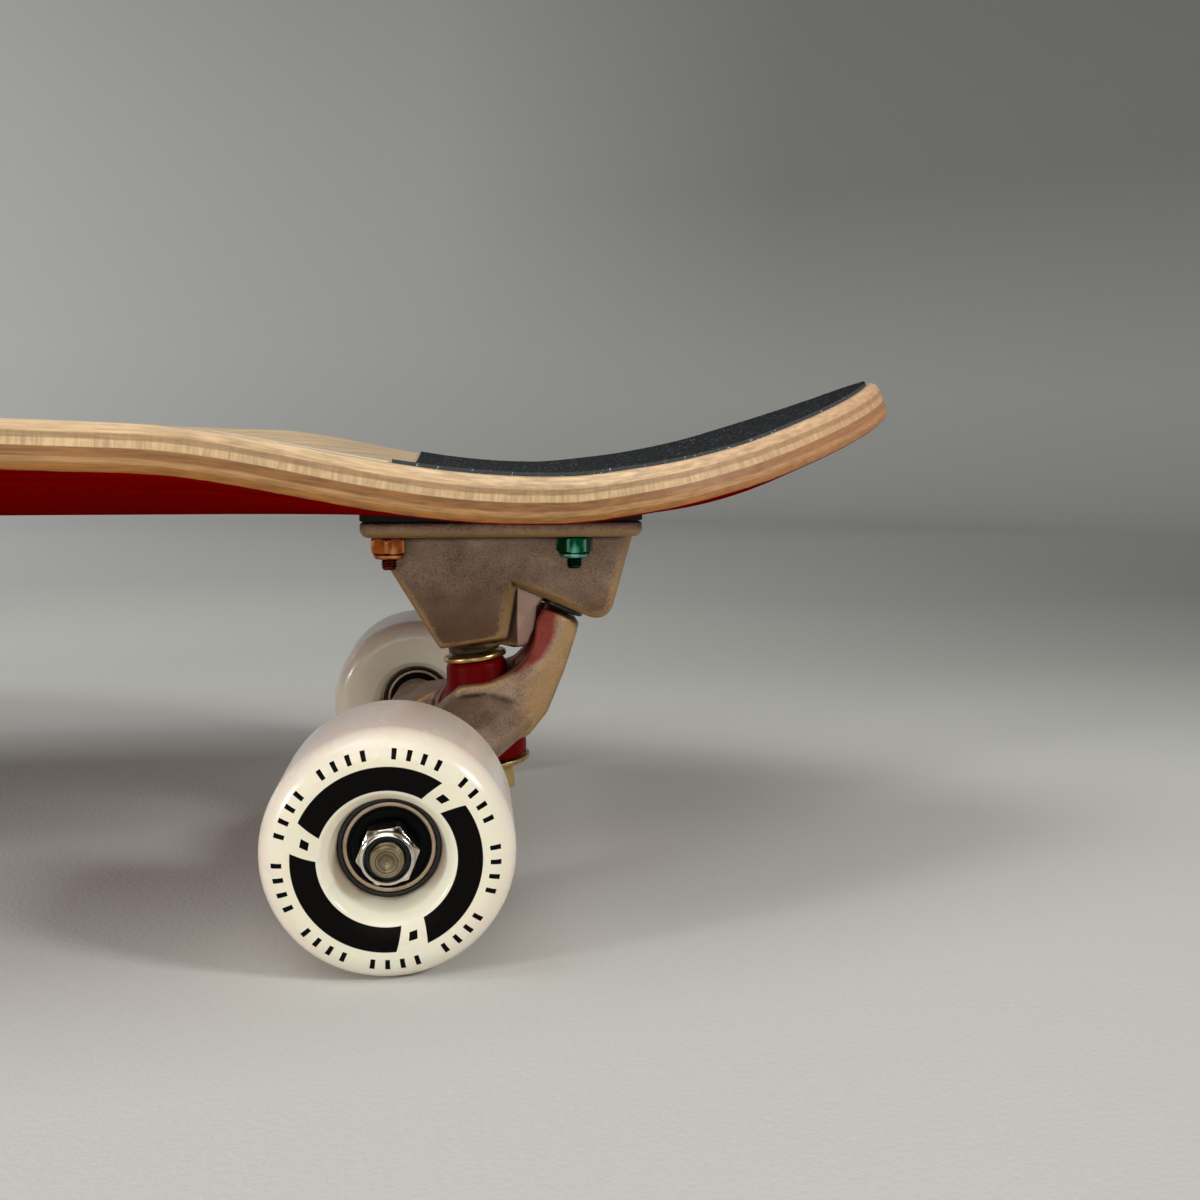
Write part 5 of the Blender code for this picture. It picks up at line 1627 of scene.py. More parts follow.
class TruckMeshes:
    """The meshes that both trucks share, each made once."""

    NECK_EDGE = ((15 * MM, 30 * MM), (27 * MM, 31 * MM), (30 * MM, 35.4 * MM), (36 * MM, 39 * MM),
                 (42 * MM, 39.8 * MM), (46 * MM, 41.5 * MM))        # height, X of the neck's inner edge

    def __init__(self, form: TruckForm, rear: Matrix) -> None:
        """Makes the meshes.

        Args:
            form: The trucks' sizes.
            rear: The rear truck's place, whose castings are copied.
        """
        self.form = form
        self.baseplate = self.baseplate_mesh()
        self.hanger = self.hanger_mesh(rear)
        self.pad = self.pad_mesh()
        self.cup = self.cup_mesh()
        self.kingpin = self.kingpin_mesh()
        self.kingpin_head = self.kingpin_head_mesh()
        self.top_washer = self.washer_mesh("top_washer", *form.top_washer, form.top_washer_bottom, 1)
        self.bottom_washer = self.washer_mesh("bottom_washer", *form.bottom_washer,
                                              form.bottom_washer_top - form.bottom_washer[1], -1)
        self.kingpin_nut = self.plain_nut("kingpin_nut", *form.kingpin_nut,
                                          form.kingpin_nut_top - form.kingpin_nut[1], form.kingpin)
        self.axle = self.axle_mesh()
        radius, half = form.washer[0], form.washer[1] / 2
        self.speed_washer = turned("speed_washer", [(radius, half, 0.2 * MM), (radius, -half, 0.2 * MM),
                                                    (form.washer_bore, -half), (form.washer_bore, half)])
        self.axle_nut, self.nut_ring = self.lock_nut("axle_nut", *form.axle_nut, form.collar[0] + 0.35 * MM,
                                                     form.collar[1], form.axle)
        self.bolt, self.bolt_head = self.bolt_meshes()
        self.nut, self.small_ring = self.lock_nut("mount_nut", *form.bolt_nut, *form.bolt_collar, form.bolt)

    def baseplate_mesh(self) -> bpy.types.Mesh:
        """The baseplate: flange, block, kingpin boss and rib, bored for the kingpin, the cup and the bolts.

        Returns:
            The mesh.
        """
        form = self.form
        low = form.flange_top - form.flange_thickness
        flange = slab("flange", form.flange_outline, low, form.flange_top, 1.5 * MM, 0.25 * MM)
        foot = form.top_washer_bottom + form.top_washer[1] + GAP
        boss = turned("boss", [(0, 40 * MM), (form.boss, 40 * MM), (form.boss, foot, 0.6 * MM), (0, foot)])
        boss.transform(form.kingpin_frame())
        parts = [flange, self.block_mesh(), self.rib_mesh(), boss]
        casting = Casting("baseplate", [cut_from(part, self.baseplate_bores()) for part in parts])
        mesh = casting.finished()
        places, normals = points_of(mesh), normals_of(mesh)
        x, z = places[:, 0], places[:, 2]
        side = np.abs(normals[:, 1])
        band = ramp(z - low - 2.2 * MM, 0.6 * MM)
        bevel = ramp(0.94 - side, 0.1) * ramp(side - 0.25, 0.15)
        on_rib = ((np.abs(places[:, 1]) < form.rib[0] + 0.4 * MM) * (x > form.notch[0] + 0.4 * MM)
                  * (z < form.notch[1]))
        # Painted light: the rib's side faces are lightened and kept out of the dark hollows.
        rib_painted_light = on_rib * ramp(side - 0.7, 0.2)
        mark(mesh, "rubbed", bevel * (1 - 0.85 * band) * (1 - on_rib))
        mark(mesh, "wear", casting.wear * (1 - 0.75 * band) * (1 - 0.8 * on_rib))
        seat = form.seat(form.block_seat[0])[1]
        # Painted shadow on the kingpin boss under the block, stored with the hollows' patina.
        boss_painted_shadow = ramp(seat - z, 0.6 * MM) * (x < form.notch[0])
        mark(mesh, "hollow", np.maximum(casting.hollow * (1 - 0.9 * rib_painted_light), boss_painted_shadow))
        # Painted shade: darker towards the bottom.
        mark(mesh, "low", ramp(60 * MM - z, 22 * MM))
        # Painted light on the rib.
        mark(mesh, "pale", rib_painted_light)
        mark(mesh, "ruddy", np.zeros(len(places)))
        return mesh

    def block_mesh(self) -> bpy.types.Mesh:
        """The block between the flange and the kingpin's seat, notched over the hanger's neck.

        Returns:
            The mesh.
        """
        form = self.form
        top = form.flange_top - form.flange_thickness / 2
        angle = form.pivot_face
        heel = np.array((form.heel_x, form.pivot_face_z(form.heel_x)))
        centre = heel + np.array((math.sin(angle), math.cos(angle))) * form.heel_round
        sweep = math.radians(90) + angle - form.outer_angle
        arc = [sweep * (i / 6 - 1) - form.outer_angle for i in range(7)]
        heel_arc = [(centre[0] + form.heel_round * math.cos(a), centre[1] + form.heel_round * math.sin(a),
                     1.7 * MM) for a in arc]
        corners = [(form.block_top[0], top, 1.0 * MM), (*form.seat(form.block_seat[0]), 0.9 * MM),
                   (*form.seat(form.block_seat[1]), 3.0 * MM), (*form.notch, 1.9 * MM), *heel_arc,
                   (form.block_top[1], top, 0.0)]
        low, narrow, wide = form.ring[1], form.block_half[0], form.block_half[1]
        rise = top + 20 * MM - low

        def draft(height: np.ndarray) -> np.ndarray:
            """The share of the block's width at those heights."""
            return (narrow + (wide - narrow) * (height - low) / rise) / wide

        return bevelled("block", corners, wide, draft)

    def rib_mesh(self) -> bpy.types.Mesh:
        """The rib beside the notch, which stands in the hanger's groove.

        Returns:
            The mesh.
        """
        form = self.form
        seat = form.seat(form.block_seat[1])
        reach = form.notch[0] + form.rib[1]
        ceiling = form.pivot_face_z(reach)
        inside = form.rib[1] / 3
        edge = 0.6 * MM
        corners = [(form.notch[0] - inside, form.notch[1] + inside, 0),
                   (seat[0] - inside, seat[1] + inside, 0),
                   (seat[0] - form.rib[1] / 2, seat[1] - inside, edge),
                   (seat[0] + inside, seat[1] - 3.7 * MM, edge),
                   (seat[0] + 6.9 * MM, seat[1] - 3.2 * MM, edge),
                   (reach - 0.6 * MM, form.notch[1] - 13.9 * MM, edge),
                   (reach, form.notch[1] - 7.2 * MM, edge),
                   (reach + 1.9 * MM, ceiling - 1.6 * MM, edge),
                   (reach + 1.9 * MM, ceiling + inside / 2, 0)]
        return bevelled("rib", corners, form.rib[0])

    def baseplate_bores(self) -> list[bpy.types.Mesh]:
        """Cutters for the kingpin, its head, the pivot cup and the bolts.

        Returns:
            The cutters.
        """
        form = self.form
        head_seat = self.kingpin_head_bottom() - GAP
        far = 100 * MM
        shank = form.kingpin + GAP
        room = form.kingpin_head[0] + 0.6 * MM
        kingpin = turned("bore", [(0, far), (room, far), (room, head_seat), (shank, head_seat), (shank, 0),
                                  (0, 0)], 48)
        kingpin.transform(form.kingpin_frame())
        wall = form.ball + form.cup_wall + 2 * GAP
        cup = turned("socket", [(0, wall + GAP), (wall, wall + GAP), (wall, -20 * MM), (0, -20 * MM)], 48)
        cup.transform(form.cup_frame())
        made = [kingpin, cup]
        for x in form.bolt_rows:
            for y in (-form.bolt_spread, form.bolt_spread):
                hole = turned("bolt_hole", [(0, far), (form.bolt_bore, far), (form.bolt_bore, 60 * MM),
                                            (0, 60 * MM)], 24)
                hole.transform(Matrix.Translation((x, y, 0)))
                made.append(hole)
        return made

    def hanger_mesh(self, rear: Matrix) -> bpy.types.Mesh:
        """The hanger, from the solid of its CAD node, with the neck's outer facets marked as rubbed.

        Args:
            rear: The rear truck's place.

        Returns:
            The mesh.
        """
        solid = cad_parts["rear_hanger"].data.copy()
        solid.transform(rear.inverted())
        solid.materials.clear()
        casting = Casting("hanger", [solid])
        mesh = casting.finished(12, 14)
        places, normals = points_of(mesh), normals_of(mesh)
        x = places[:, 0]
        middle = ramp(22 * MM - np.abs(places[:, 1]), 5 * MM)
        neck = middle * ramp(x - 30 * MM, 3 * MM)
        z = places[:, 2]
        # Painted red reflection of the bushings: on the neck's inner faces and on upward faces near the
        # ring.
        about = np.hypot(x - self.form.ring[0], places[:, 1])
        above = ramp(17 * MM - about, 2 * MM) * ramp(z - 13 * MM, 2 * MM)
        heights, edge = np.array(self.NECK_EDGE).T
        inner = ramp(np.interp(z, heights, edge) + 7 * MM - x, 2 * MM)
        inner = inner * ramp(z - 25 * MM, 4 * MM) * neck
        inner = np.maximum(inner, ramp(-normals[:, 0] - 0.15, 0.25) * neck)
        upper = ramp(normals[:, 2] - 0.3, 0.3) * above
        mark(mesh, "rubbed", 0.8 * ramp(normals[:, 0] - 0.22, 0.25) * neck)
        mark(mesh, "ruddy", np.maximum(inner, upper))
        mark(mesh, "wear", casting.wear)
        mark(mesh, "hollow", casting.hollow)
        mark(mesh, "low", np.zeros(len(places)))
        mark(mesh, "pale", np.zeros(len(places)))
        return mesh

    def pad_mesh(self) -> bpy.types.Mesh:
        """The riser pad, which has the flange's outline."""
        low = self.form.pad_bottom
        high = low + self.form.pad_thickness
        return slab("riser_pad", self.form.flange_outline, low, high, 0.3 * MM, 0.3 * MM)

    def cup_mesh(self) -> bpy.types.Mesh:
        """The pivot cup, whose lip shows under the baseplate.

        Returns:
            The mesh.
        """
        form = self.form
        inner = form.ball + GAP
        outer = inner + form.cup_wall
        distance = (form.pivot[1] - form.pivot_face_z(form.pivot[0])) * math.cos(form.pivot_face)
        lip_top = -distance - GAP
        lip, height = form.cup_lip
        profile = [(0, outer), (outer, outer, 1 * MM), (outer, lip_top), (lip, lip_top, 0.3 * MM),
                   (lip, lip_top - height, 0.6 * MM), (inner, lip_top - height, 0.3 * MM), (inner, 0),
                   (inner, inner, inner), (0, inner)]
        return turned("pivot_cup", profile)

    def kingpin_mesh(self) -> bpy.types.Mesh:
        """The kingpin's shank, with its thread."""
        form = self.form
        low = form.kingpin_nut_top - form.kingpin_nut[1] - form.past_nut
        return thread("kingpin", form.kingpin, low, self.kingpin_head_bottom(), form.bottom_bushing_top,
                      1.0 * MM)

    def kingpin_head_bottom(self) -> float:
        """Where the kingpin's head starts.

        Returns:
            The place along the kingpin, from the ring's centre.
        """
        form = self.form
        top = (form.flange_top - form.ring[1]) / math.cos(form.kingpin_tilt) - form.kingpin_head[2]
        return top - form.kingpin_head[1]

    def kingpin_head_mesh(self) -> bpy.types.Mesh:
        """The kingpin's round head with a hexagon socket.

        Returns:
            The mesh.
        """
        radius, height, _ = self.form.kingpin_head
        low = self.kingpin_head_bottom()
        high = low + height
        across, deep = self.form.kingpin_socket
        head = turned("kingpin_head", [(0, high), (radius, high, 0.6 * MM), (radius, low, 0.3 * MM),
                                       (0, low)])
        return cut_from(head, [hexagon_bar(across, high - deep, high + deep)])

    def washer_mesh(self, name: str, radius: float, thickness: float, low: float, lip: int
                    ) -> bpy.types.Mesh:
        """A cupped washer, whose rim is rolled a little.

        Args:
            name: The mesh's name.
            radius: Its outer radius.
            thickness: Over all.
            low: Height of its lower face.
            lip: 1 if the rim points down over the bushing, -1 if up.

        Returns:
            The mesh.
        """
        bore = self.form.kingpin + GAP
        high = low + thickness
        wall = 0.62 * thickness
        if lip > 0:
            profile = [(radius, high, 0.8 * MM), (radius, low, 0.3 * MM), (radius - wall, low, 0.2 * MM),
                       (radius - wall - 0.4 * MM, high - wall, 0.3 * MM), (bore, high - wall),
                       (bore, high, 0.2 * MM)]
        else:
            profile = [(radius, low, 0.8 * MM), (bore, low, 0.2 * MM), (bore, low + wall),
                       (radius - wall - 0.4 * MM, low + wall, 0.3 * MM), (radius - wall, high, 0.2 * MM),
                       (radius, high, 0.3 * MM)]
        return turned(name, profile)

    def top_bushing_mesh(self) -> bpy.types.Mesh:
        """The tall bushing: a slightly barrelled cone with a soft lower lip.

        Returns:
            The mesh.
        """
        form = self.form
        radius, height = form.top_bushing
        low = form.top_bushing_bottom
        high = low + height
        bore = form.kingpin + GAP
        profile = [(radius - 0.5 * MM, high, 0.6 * MM), (radius + 0.4 * MM, high - 1.4 * MM, 2 * MM),
                   (radius + 1.1 * MM, low + 5.5 * MM, 6 * MM),
                   (form.bushing - 0.9 * MM, low + 2.6 * MM, 3 * MM),
                   (form.bushing, low + 1.2 * MM, 0.9 * MM), (form.bushing - 0.3 * MM, low, 0.5 * MM),
                   (bore, low), (bore, high)]
        return turned("top_bushing", profile, sharp=60)

    def bottom_bushing_mesh(self) -> bpy.types.Mesh:
        """The short barrel bushing.

        Returns:
            The mesh.
        """
        form = self.form
        high = form.bottom_bushing_top
        low = high - form.bottom_bushing
        bore = form.kingpin + GAP
        profile = [(form.bushing - 0.7 * MM, high, 0.9 * MM), (form.bushing, (high + low) / 2, 8 * MM),
                   (form.bushing - 0.7 * MM, low, 0.9 * MM), (bore, low), (bore, high)]
        return turned("bottom_bushing", profile, sharp=60)

    def plain_nut(self, name: str, across: float, height: float, low: float, bore: float) -> bpy.types.Mesh:
        """A hexagon nut chamfered on both faces.

        Args:
            name: The mesh's name.
            across: Width over the flats.
            height: Of the nut.
            low: Height of its lower face.
            bore: The radius of what runs through it.

        Returns:
            The mesh.
        """
        high = low + height
        chamfer = 0.9 * MM
        reach = hexagon(across, chamfer, chamfer, low, high)
        heights = np.concatenate([np.linspace(low, low + chamfer, 7), np.linspace(high - chamfer, high, 7)])
        inside = bore + 0.1 * MM
        tail = ((inside + 0.5 * MM, high), (inside, high - 0.5 * MM), (inside, low + 0.5 * MM),
                (inside + 0.5 * MM, low))
        return round_rod(name, heights, reach, 96, tail, sharp=28)

    def lock_nut(self, name: str, across: float, height: float, collar: float, collar_height: float,
                 bore: float) -> tuple[bpy.types.Mesh, bpy.types.Mesh]:
        """A lock nut from Z = 0 outwards to +Z: the hexagon, its round collar and the nylon ring in it.

        Args:
            name: The nut's name.
            across: Width over the flats.
            height: Of the hexagon.
            collar: The collar's radius.
            collar_height: Its height over the hexagon.
            bore: The bolt's radius.

        Returns:
            The nut and the ring.
        """
        chamfer = 0.12 * across
        reach = hexagon(across, chamfer * 0.5, chamfer, 0, height)
        heights = np.concatenate([np.linspace(0, chamfer, 6), np.linspace(height - chamfer, height, 9)])
        top = height + collar_height
        seat = collar - 1.1 * MM
        hollow = bore + 0.15 * MM
        lip = 0.8 * MM
        rounding = [(collar - lip * (1 - math.cos(a)), top - lip * (1 - math.sin(a)))
                    for a in np.radians((0, 22, 45, 68, 90))]
        tail = ((collar + 0.15 * MM, height), (collar, height + 0.15 * MM), *rounding,
                (seat, top - 0.25 * MM), (seat, top - 1.3 * MM), (hollow + 0.2 * MM, top - 1.3 * MM),
                (hollow, 0.5 * MM), (hollow + 0.5 * MM, 0))
        nut = round_rod(name, heights, reach, 96, tail, sharp=28)
        places = points_of(nut)
        far = np.hypot(places[:, 0], places[:, 1]) / (across / 2)
        # Painted highlight on the collar; the corners are paler, partly from wear and partly as a painted
        # highlight.
        collar_highlight = (ramp(places[:, 2] - height - 0.25 * MM, 0.2 * MM)
                     * (far > (seat - 0.1 * MM) / (across / 2)))
        mark(nut, "edge", np.maximum(ramp(far - 1.08, 0.05), 0.8 * collar_highlight))
        # Painted shade in the crease where the collar meets the hexagon.
        mark(nut, "hollow", np.clip(1 - np.abs(places[:, 2] - height) / (0.35 * MM), 0, 1) * (far < 0.99))
        inner, outer = hollow - 0.05 * MM, seat - 0.02 * MM
        low, high = top - 1.28 * MM, top - 0.9 * MM
        ring = turned(name + "_ring", [(outer, high, 0.2 * MM), (outer, low), (inner, low),
                                       (inner, high, 0.2 * MM)])
        return nut, ring

    def axle_mesh(self) -> bpy.types.Mesh:
        """The axle about Z with a thread, a chamfer and a centre mark at each end.

        Returns:
            The mesh.
        """
        form = self.form
        end = (form.hub_outer + form.washer[1] + GAP + form.axle_nut[1] + form.collar[1]
               + form.past_axle_nut)
        thread_start = form.hub_outer - 2 * MM
        pitch = 0.9 * MM
        rows = np.arange(thread_start, end, pitch / 8)
        heights = np.concatenate([-rows[::-1], rows])
        radius = form.axle

        def reach(turn: np.ndarray, height: np.ndarray) -> np.ndarray:
            """The axle's radius at arrays of angles and heights."""
            distance = np.abs(height)
            start = ramp(distance - thread_start, pitch)
            cut = 0.5 * pitch * screw_wave(turn, height, pitch) * start
            tip = np.clip(distance - (end - 1.1 * MM), 0, None) * 0.75
            return np.minimum(radius - cut, radius - tip)

        axle = round_rod("axle", heights, reach, 40, sharp=50)
        marks = []
        for side in (-1, 1):
            mark_mesh = turned("centre_mark", [(0, 1 * MM), (2.1 * MM, 1 * MM), (0, -1.1 * MM)], 32)
            turn = Matrix.Identity(4) if side > 0 else Matrix.Rotation(math.pi, 4, "X")
            mark_mesh.transform(Matrix.Translation((0, 0, side * (end - 0.1 * MM))) @ turn)
            marks.append(mark_mesh)
        return cut_from(axle, marks)

    def bolt_meshes(self) -> tuple[bpy.types.Mesh, bpy.types.Mesh]:
        """A countersunk bolt below the deck's top face: the threaded shank and the head with its socket.

        Returns:
            The shank and the head.
        """
        form = self.form
        radius, height = form.bolt_head
        across, deep = form.bolt_socket
        end = -(form.deck + GAP + form.pad_thickness + GAP + form.flange_thickness + GAP
                + form.bolt_nut_height) - form.past_bolt_nut
        shank = thread("mount_bolt", form.bolt, end, -height, end + form.bolt_thread, 0.8 * MM)
        cone = turned("bolt_head", [(0, 0), (radius, 0, 0.15 * MM), (form.bolt, -height), (0, -height)])
        return shank, cut_from(cone, [hexagon_bar(across, -deep, 2 * MM)])


class Truck:
    """One truck: its pieces that stay on the board and those that steer with the hanger."""

    COLOURS = {(Side.LEFT, Row.INNER): Finish.COPPER, (Side.LEFT, Row.OUTER): Finish.GREEN,
               (Side.RIGHT, Row.INNER): Finish.BLUE, (Side.RIGHT, Row.OUTER): Finish.VIOLET}

    NUT_TURN = {Row.INNER: 4, Row.OUTER: 26}       # degrees from a corner towards the side

    def __init__(self, name: str, heading: float) -> None:
        """Reads the truck's place from its CAD axle.

        Args:
            name: rear or front.
            heading: Turn of its own frame about Z.
        """
        low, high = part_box(f"{name}_axle")
        self.name = name
        self.heading = heading
        self.place = Matrix.Translation((low + high) / 2) @ Matrix.Rotation(heading, 4, "Z")
        self.form = TruckForm()
        self.steering = f"{name}_truck"

    @property
    def sign(self) -> int:
        """1 if the truck's own Y runs with the board's, else -1."""
        return 1 if self.heading == 0 else -1

    def bolt_spots(self) -> dict[tuple[Side, Row], Vector]:
        """Where each bolt's head lies on the deck's top face.

        Returns:
            The places by side and row.
        """
        spots = {}
        for side in Side:
            for row in Row:
                low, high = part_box(f"{self.name}_{side.name.lower()}_{row.value}_bolt")
                spots[side, row] = Vector(((low.x + high.x) / 2, (low.y + high.y) / 2, high.z))
        return spots

    def dress(self, piece: str, mesh: bpy.types.Mesh, finish: Finish, body: str, place: Matrix,
              stands_for: Sequence[str] = ()) -> bpy.types.Object:
        """Puts one of the truck's pieces in place.

        Args:
            piece: Its name within the truck.
            mesh: Its mesh.
            finish: Its finish.
            body: The body that it rides on.
            place: Its place in the board's frame.
            stands_for: CAD nodes within the truck that it replaces.

        Returns:
            The object.
        """
        nodes = [f"{self.name}_{node}" for node in stands_for]
        return dressed(f"{self.name}_{piece}", mesh, finish, body, place, nodes)

    def outwards(self, side: Side) -> Matrix:
        """Origin in the axle's middle, +Z out along the axle on one side."""
        return self.place @ Matrix.Rotation(math.radians(-90) * side.value * self.sign, 4, "X")

    def build(self, shared: TruckMeshes) -> None:
        """Adds the truck's pieces to the board.

        Args:
            shared: The meshes of both trucks.
        """
        self.build_mounting(shared)
        self.build_bushings(shared)
        self.build_bolts(shared)
        self.build_steering(shared)

    def build_mounting(self, shared: TruckMeshes) -> None:
        """Adds what stays still on the board, apart from the bolts.

        Args:
            shared: The meshes of both trucks.
        """
        on_kingpin = self.place @ self.form.kingpin_frame()
        in_cup = self.place @ self.form.cup_frame()
        for piece, mesh, finish, place, stands_for in (
                ("rubber_pad", shared.pad, Finish.RISER, self.place, ["riser_pad"]),
                ("cast_baseplate", shared.baseplate, Finish.BRONZE, self.place, ["baseplate"]),
                ("cup_insert", shared.cup, Finish.CUP, in_cup, ["pivot_cup"]),
                ("kingpin_shank", shared.kingpin, Finish.DARK_STEEL, on_kingpin, ["kingpin"]),
                ("kingpin_head", shared.kingpin_head, Finish.DARK_STEEL, on_kingpin, []),
                ("upper_washer", shared.top_washer, Finish.GOLD, on_kingpin, ["top_washer"]),
                ("lower_washer", shared.bottom_washer, Finish.GOLD, on_kingpin, ["bottom_washer"]),
                ("lock_nut", shared.kingpin_nut, Finish.GOLD, on_kingpin, ["kingpin_nut"])):
            self.dress(piece, mesh, finish, "board", place, stands_for)

    def build_bushings(self, shared: TruckMeshes) -> None:
        """Adds the two bushings between the board and the hanger's ring.

        Args:
            shared: Makes their meshes.
        """
        form = self.form
        on_kingpin = self.place @ form.kingpin_frame()
        for piece, node, mesh, *heights in (
                ("upper_bushing", "top_bushing", shared.top_bushing_mesh(),
                 form.top_washer_bottom, form.top_bushing_bottom),
                ("lower_bushing", "bottom_bushing", shared.bottom_bushing_mesh(),
                 form.bottom_washer_top, form.bottom_bushing_top)):
            mesh.materials.append(Finish.RED.material())
            made = in_scene(f"{self.name}_{piece}", mesh, on_kingpin)
            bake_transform(made)
            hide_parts(f"{self.name}_{node}")
            LOG.info("%s_%s: bends between board and %s", self.name, piece, self.steering)

    def build_bolts(self, shared: TruckMeshes) -> None:
        """Adds the four bolts with their nuts.

        Args:
            shared: The meshes of both trucks.
        """
        for (side, row), spot in self.bolt_spots().items():
            name = f"{side.name.lower()}_{row.value}"
            finish = self.COLOURS[side, row]
            at = Matrix.Translation(spot)
            self.dress(f"{name}_screw", shared.bolt, finish, "board", at, [f"{name}_bolt"])
            self.dress(f"{name}_screw_head", shared.bolt_head, finish, "board", at)
            _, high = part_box(f"{self.name}_{name}_nut")
            seat = Matrix.Translation((spot.x, spot.y, high.z)) @ Matrix.Rotation(math.pi, 4, "X")
            seat = seat @ Matrix.Rotation(math.radians(self.NUT_TURN[row]), 4, "Z")
            self.dress(f"{name}_lock_nut", shared.nut, finish, "board", seat, [f"{name}_nut"])
            self.dress(f"{name}_nylon_ring", shared.small_ring, Finish.NYLON, "board", seat)

    def build_steering(self, shared: TruckMeshes) -> None:
        """Adds the hanger, the axle, and the nuts and washers on it.

        Args:
            shared: The meshes of both trucks.
        """
        form = self.form
        self.dress("cast_hanger", shared.hanger, Finish.BRONZE, self.steering, self.place, ["hanger"])
        along = self.place @ Matrix.Rotation(math.radians(-90), 4, "X")
        self.dress("axle_rod", shared.axle, Finish.AXLE, self.steering, along, ["axle"])
        for side in Side:
            name = side.name.lower()
            out = self.outwards(side)
            for spot, height in (("inner", form.hub_inner - form.washer[1] / 2),
                                 ("outer", form.hub_outer + form.washer[1] / 2)):
                self.dress(f"{name}_{spot}_speed_washer", shared.speed_washer, Finish.AXLE, self.steering,
                           out @ Matrix.Translation((0, 0, height)))
            seat = out @ Matrix.Translation((0, 0, form.hub_outer + form.washer[1] + GAP))
            seat = seat @ Matrix.Rotation(math.radians(38), 4, "Z")
            self.dress(f"{name}_wheel_nut", shared.axle_nut, Finish.CHROME, self.steering, seat,
                       [f"{name}_axle_nut"])
            self.dress(f"{name}_wheel_nut_ring", shared.nut_ring, Finish.NYLON, self.steering, seat)


# Wheels


@dataclass
class Wheel:
    """A wheel: cream urethane round a black core with two sealed bearings."""

    width: float = 44.0 * MM
    tread: float = 30.0 * MM
    side_edge: float = 23.5 * MM
    dish: float = 15.5 * MM
    dish_step: float = 0.6 * MM
    dish_floor: float = 13.6 * MM   # radius where the dish is deepest
    crown: float = 19.0 * MM        # radius of the side's highest ring
    core_wall: float = 1.0 * MM
    web: float = 8.0 * MM
    race_wall: float = 1.15 * MM

    def tyre_mesh(self, radius: float, form: TruckForm) -> bpy.types.Mesh:
        """The urethane about Z.

        Args:
            radius: Of the tread.
            form: The truck's sizes.

        Returns:
            The mesh.
        """
        half = self.width / 2
        flat = self.tread / 2
        inner = form.bearing[0] + GAP + self.core_wall + 0.05 * MM
        hub = form.hub / 2
        turns = np.radians(np.linspace(0, 90, 15))
        shoulder = [(self.side_edge + (radius - self.side_edge) * math.sin(a),
                     flat + (half - flat) * math.cos(a)) for a in turns]
        outer = [(inner, hub), (inner + 0.1 * MM, hub + 1.4 * MM, 0.8 * MM),
                 (self.dish_floor, hub + 6.6 * MM, 3 * MM),
                 (self.dish, half - self.dish_step - 0.3 * MM, 1.2 * MM),
                 (self.crown, half - 0.25 * MM, 8 * MM), *shoulder]
        return turned("tyre", mirrored(outer), 128, sharp=60)

    def core_mesh(self, form: TruckForm) -> bpy.types.Mesh:
        """The hard ring that holds both bearings, with a web between them.

        Args:
            form: The truck's sizes.

        Returns:
            The mesh.
        """
        outer = form.bearing[0] + GAP + self.core_wall
        hub = form.hub / 2
        seat = form.bearing[0] + 0.05 * MM
        web = hub - form.bearing[1] - GAP
        edge = 0.35 * MM
        profile = [(outer, hub, edge), (outer, -hub, edge), (seat, -hub, edge), (seat, -web),
                   (self.web, -web), (self.web, web), (seat, web), (seat, hub, edge)]
        return turned("core", profile, 96)

    def bearing_meshes(self, form: TruckForm) -> dict[str, bpy.types.Mesh]:
        """The outer race, the seal and the inner race of a bearing about Z.

        Args:
            form: The truck's sizes.

        Returns:
            The meshes by name.
        """
        radius, width, inner = form.bearing
        half = width / 2
        lip = radius - self.race_wall
        edge = 0.3 * MM
        race = turned("outer_race", [(radius, half, edge), (radius, -half, edge), (lip, -half, edge),
                                     (lip, half, edge)], 96)
        bore = form.axle + 0.1 * MM
        core = turned("inner_race", [(inner, half, edge), (inner, -half, edge), (bore, -half, edge),
                                     (bore, half, edge)], 72)
        face = half - 0.35 * MM
        groove = 0.25 * MM
        near, far = inner + 0.15 * MM, lip - 0.05 * MM
        side = [(far, face - groove), (far - 0.5 * MM, face - groove, 0.1 * MM),
                (far - 0.7 * MM, face, 0.15 * MM), (near + 1.3 * MM, face, 0.15 * MM),
                (near + 1.1 * MM, face - groove, 0.1 * MM),
                (near + 0.7 * MM, face - groove, 0.1 * MM), (near + 0.5 * MM, face - 0.05 * MM, 0.1 * MM),
                (near, face - 0.05 * MM, 0.1 * MM)]
        seal = turned("seal", mirrored(side), 96)
        return {"outer_race": race, "inner_race": core, "seal": seal}

    def build(self, truck: Truck, side: Side, meshes: dict[str, bpy.types.Mesh],
              tyre_finish: bpy.types.Material) -> None:
        """Adds a wheel to the board.

        Args:
            truck: The truck that carries it.
            side: Which end of the axle.
            meshes: The wheel's meshes by name.
            tyre_finish: The tyre's material.
        """
        form = truck.form
        name = f"{truck.name}_{side.name.lower()}"
        body = f"{name}_wheel"
        hub = truck.outwards(side) @ Matrix.Translation((0, 0, form.wheel_y))
        put(f"{name}_urethane", meshes["tyre"], tyre_finish, body, hub, [f"{name}_tyre"])
        dressed(f"{name}_hub_core", meshes["core"], Finish.CORE, body, hub, [f"{name}_core"])
        shift = (form.hub - form.bearing[1]) / 2
        for spot, height in (("inner", -shift), ("outer", shift)):
            at = hub @ Matrix.Translation((0, 0, height))
            dressed(f"{name}_{spot}_race", meshes["outer_race"], Finish.RACE, body, at,
                    [f"{name}_{spot}_bearing"])
            dressed(f"{name}_{spot}_seal", meshes["seal"], Finish.SEAL, body, at)
            dressed(f"{name}_{spot}_inner_race", meshes["inner_race"], Finish.RACE, truck.steering, at)


# Studio


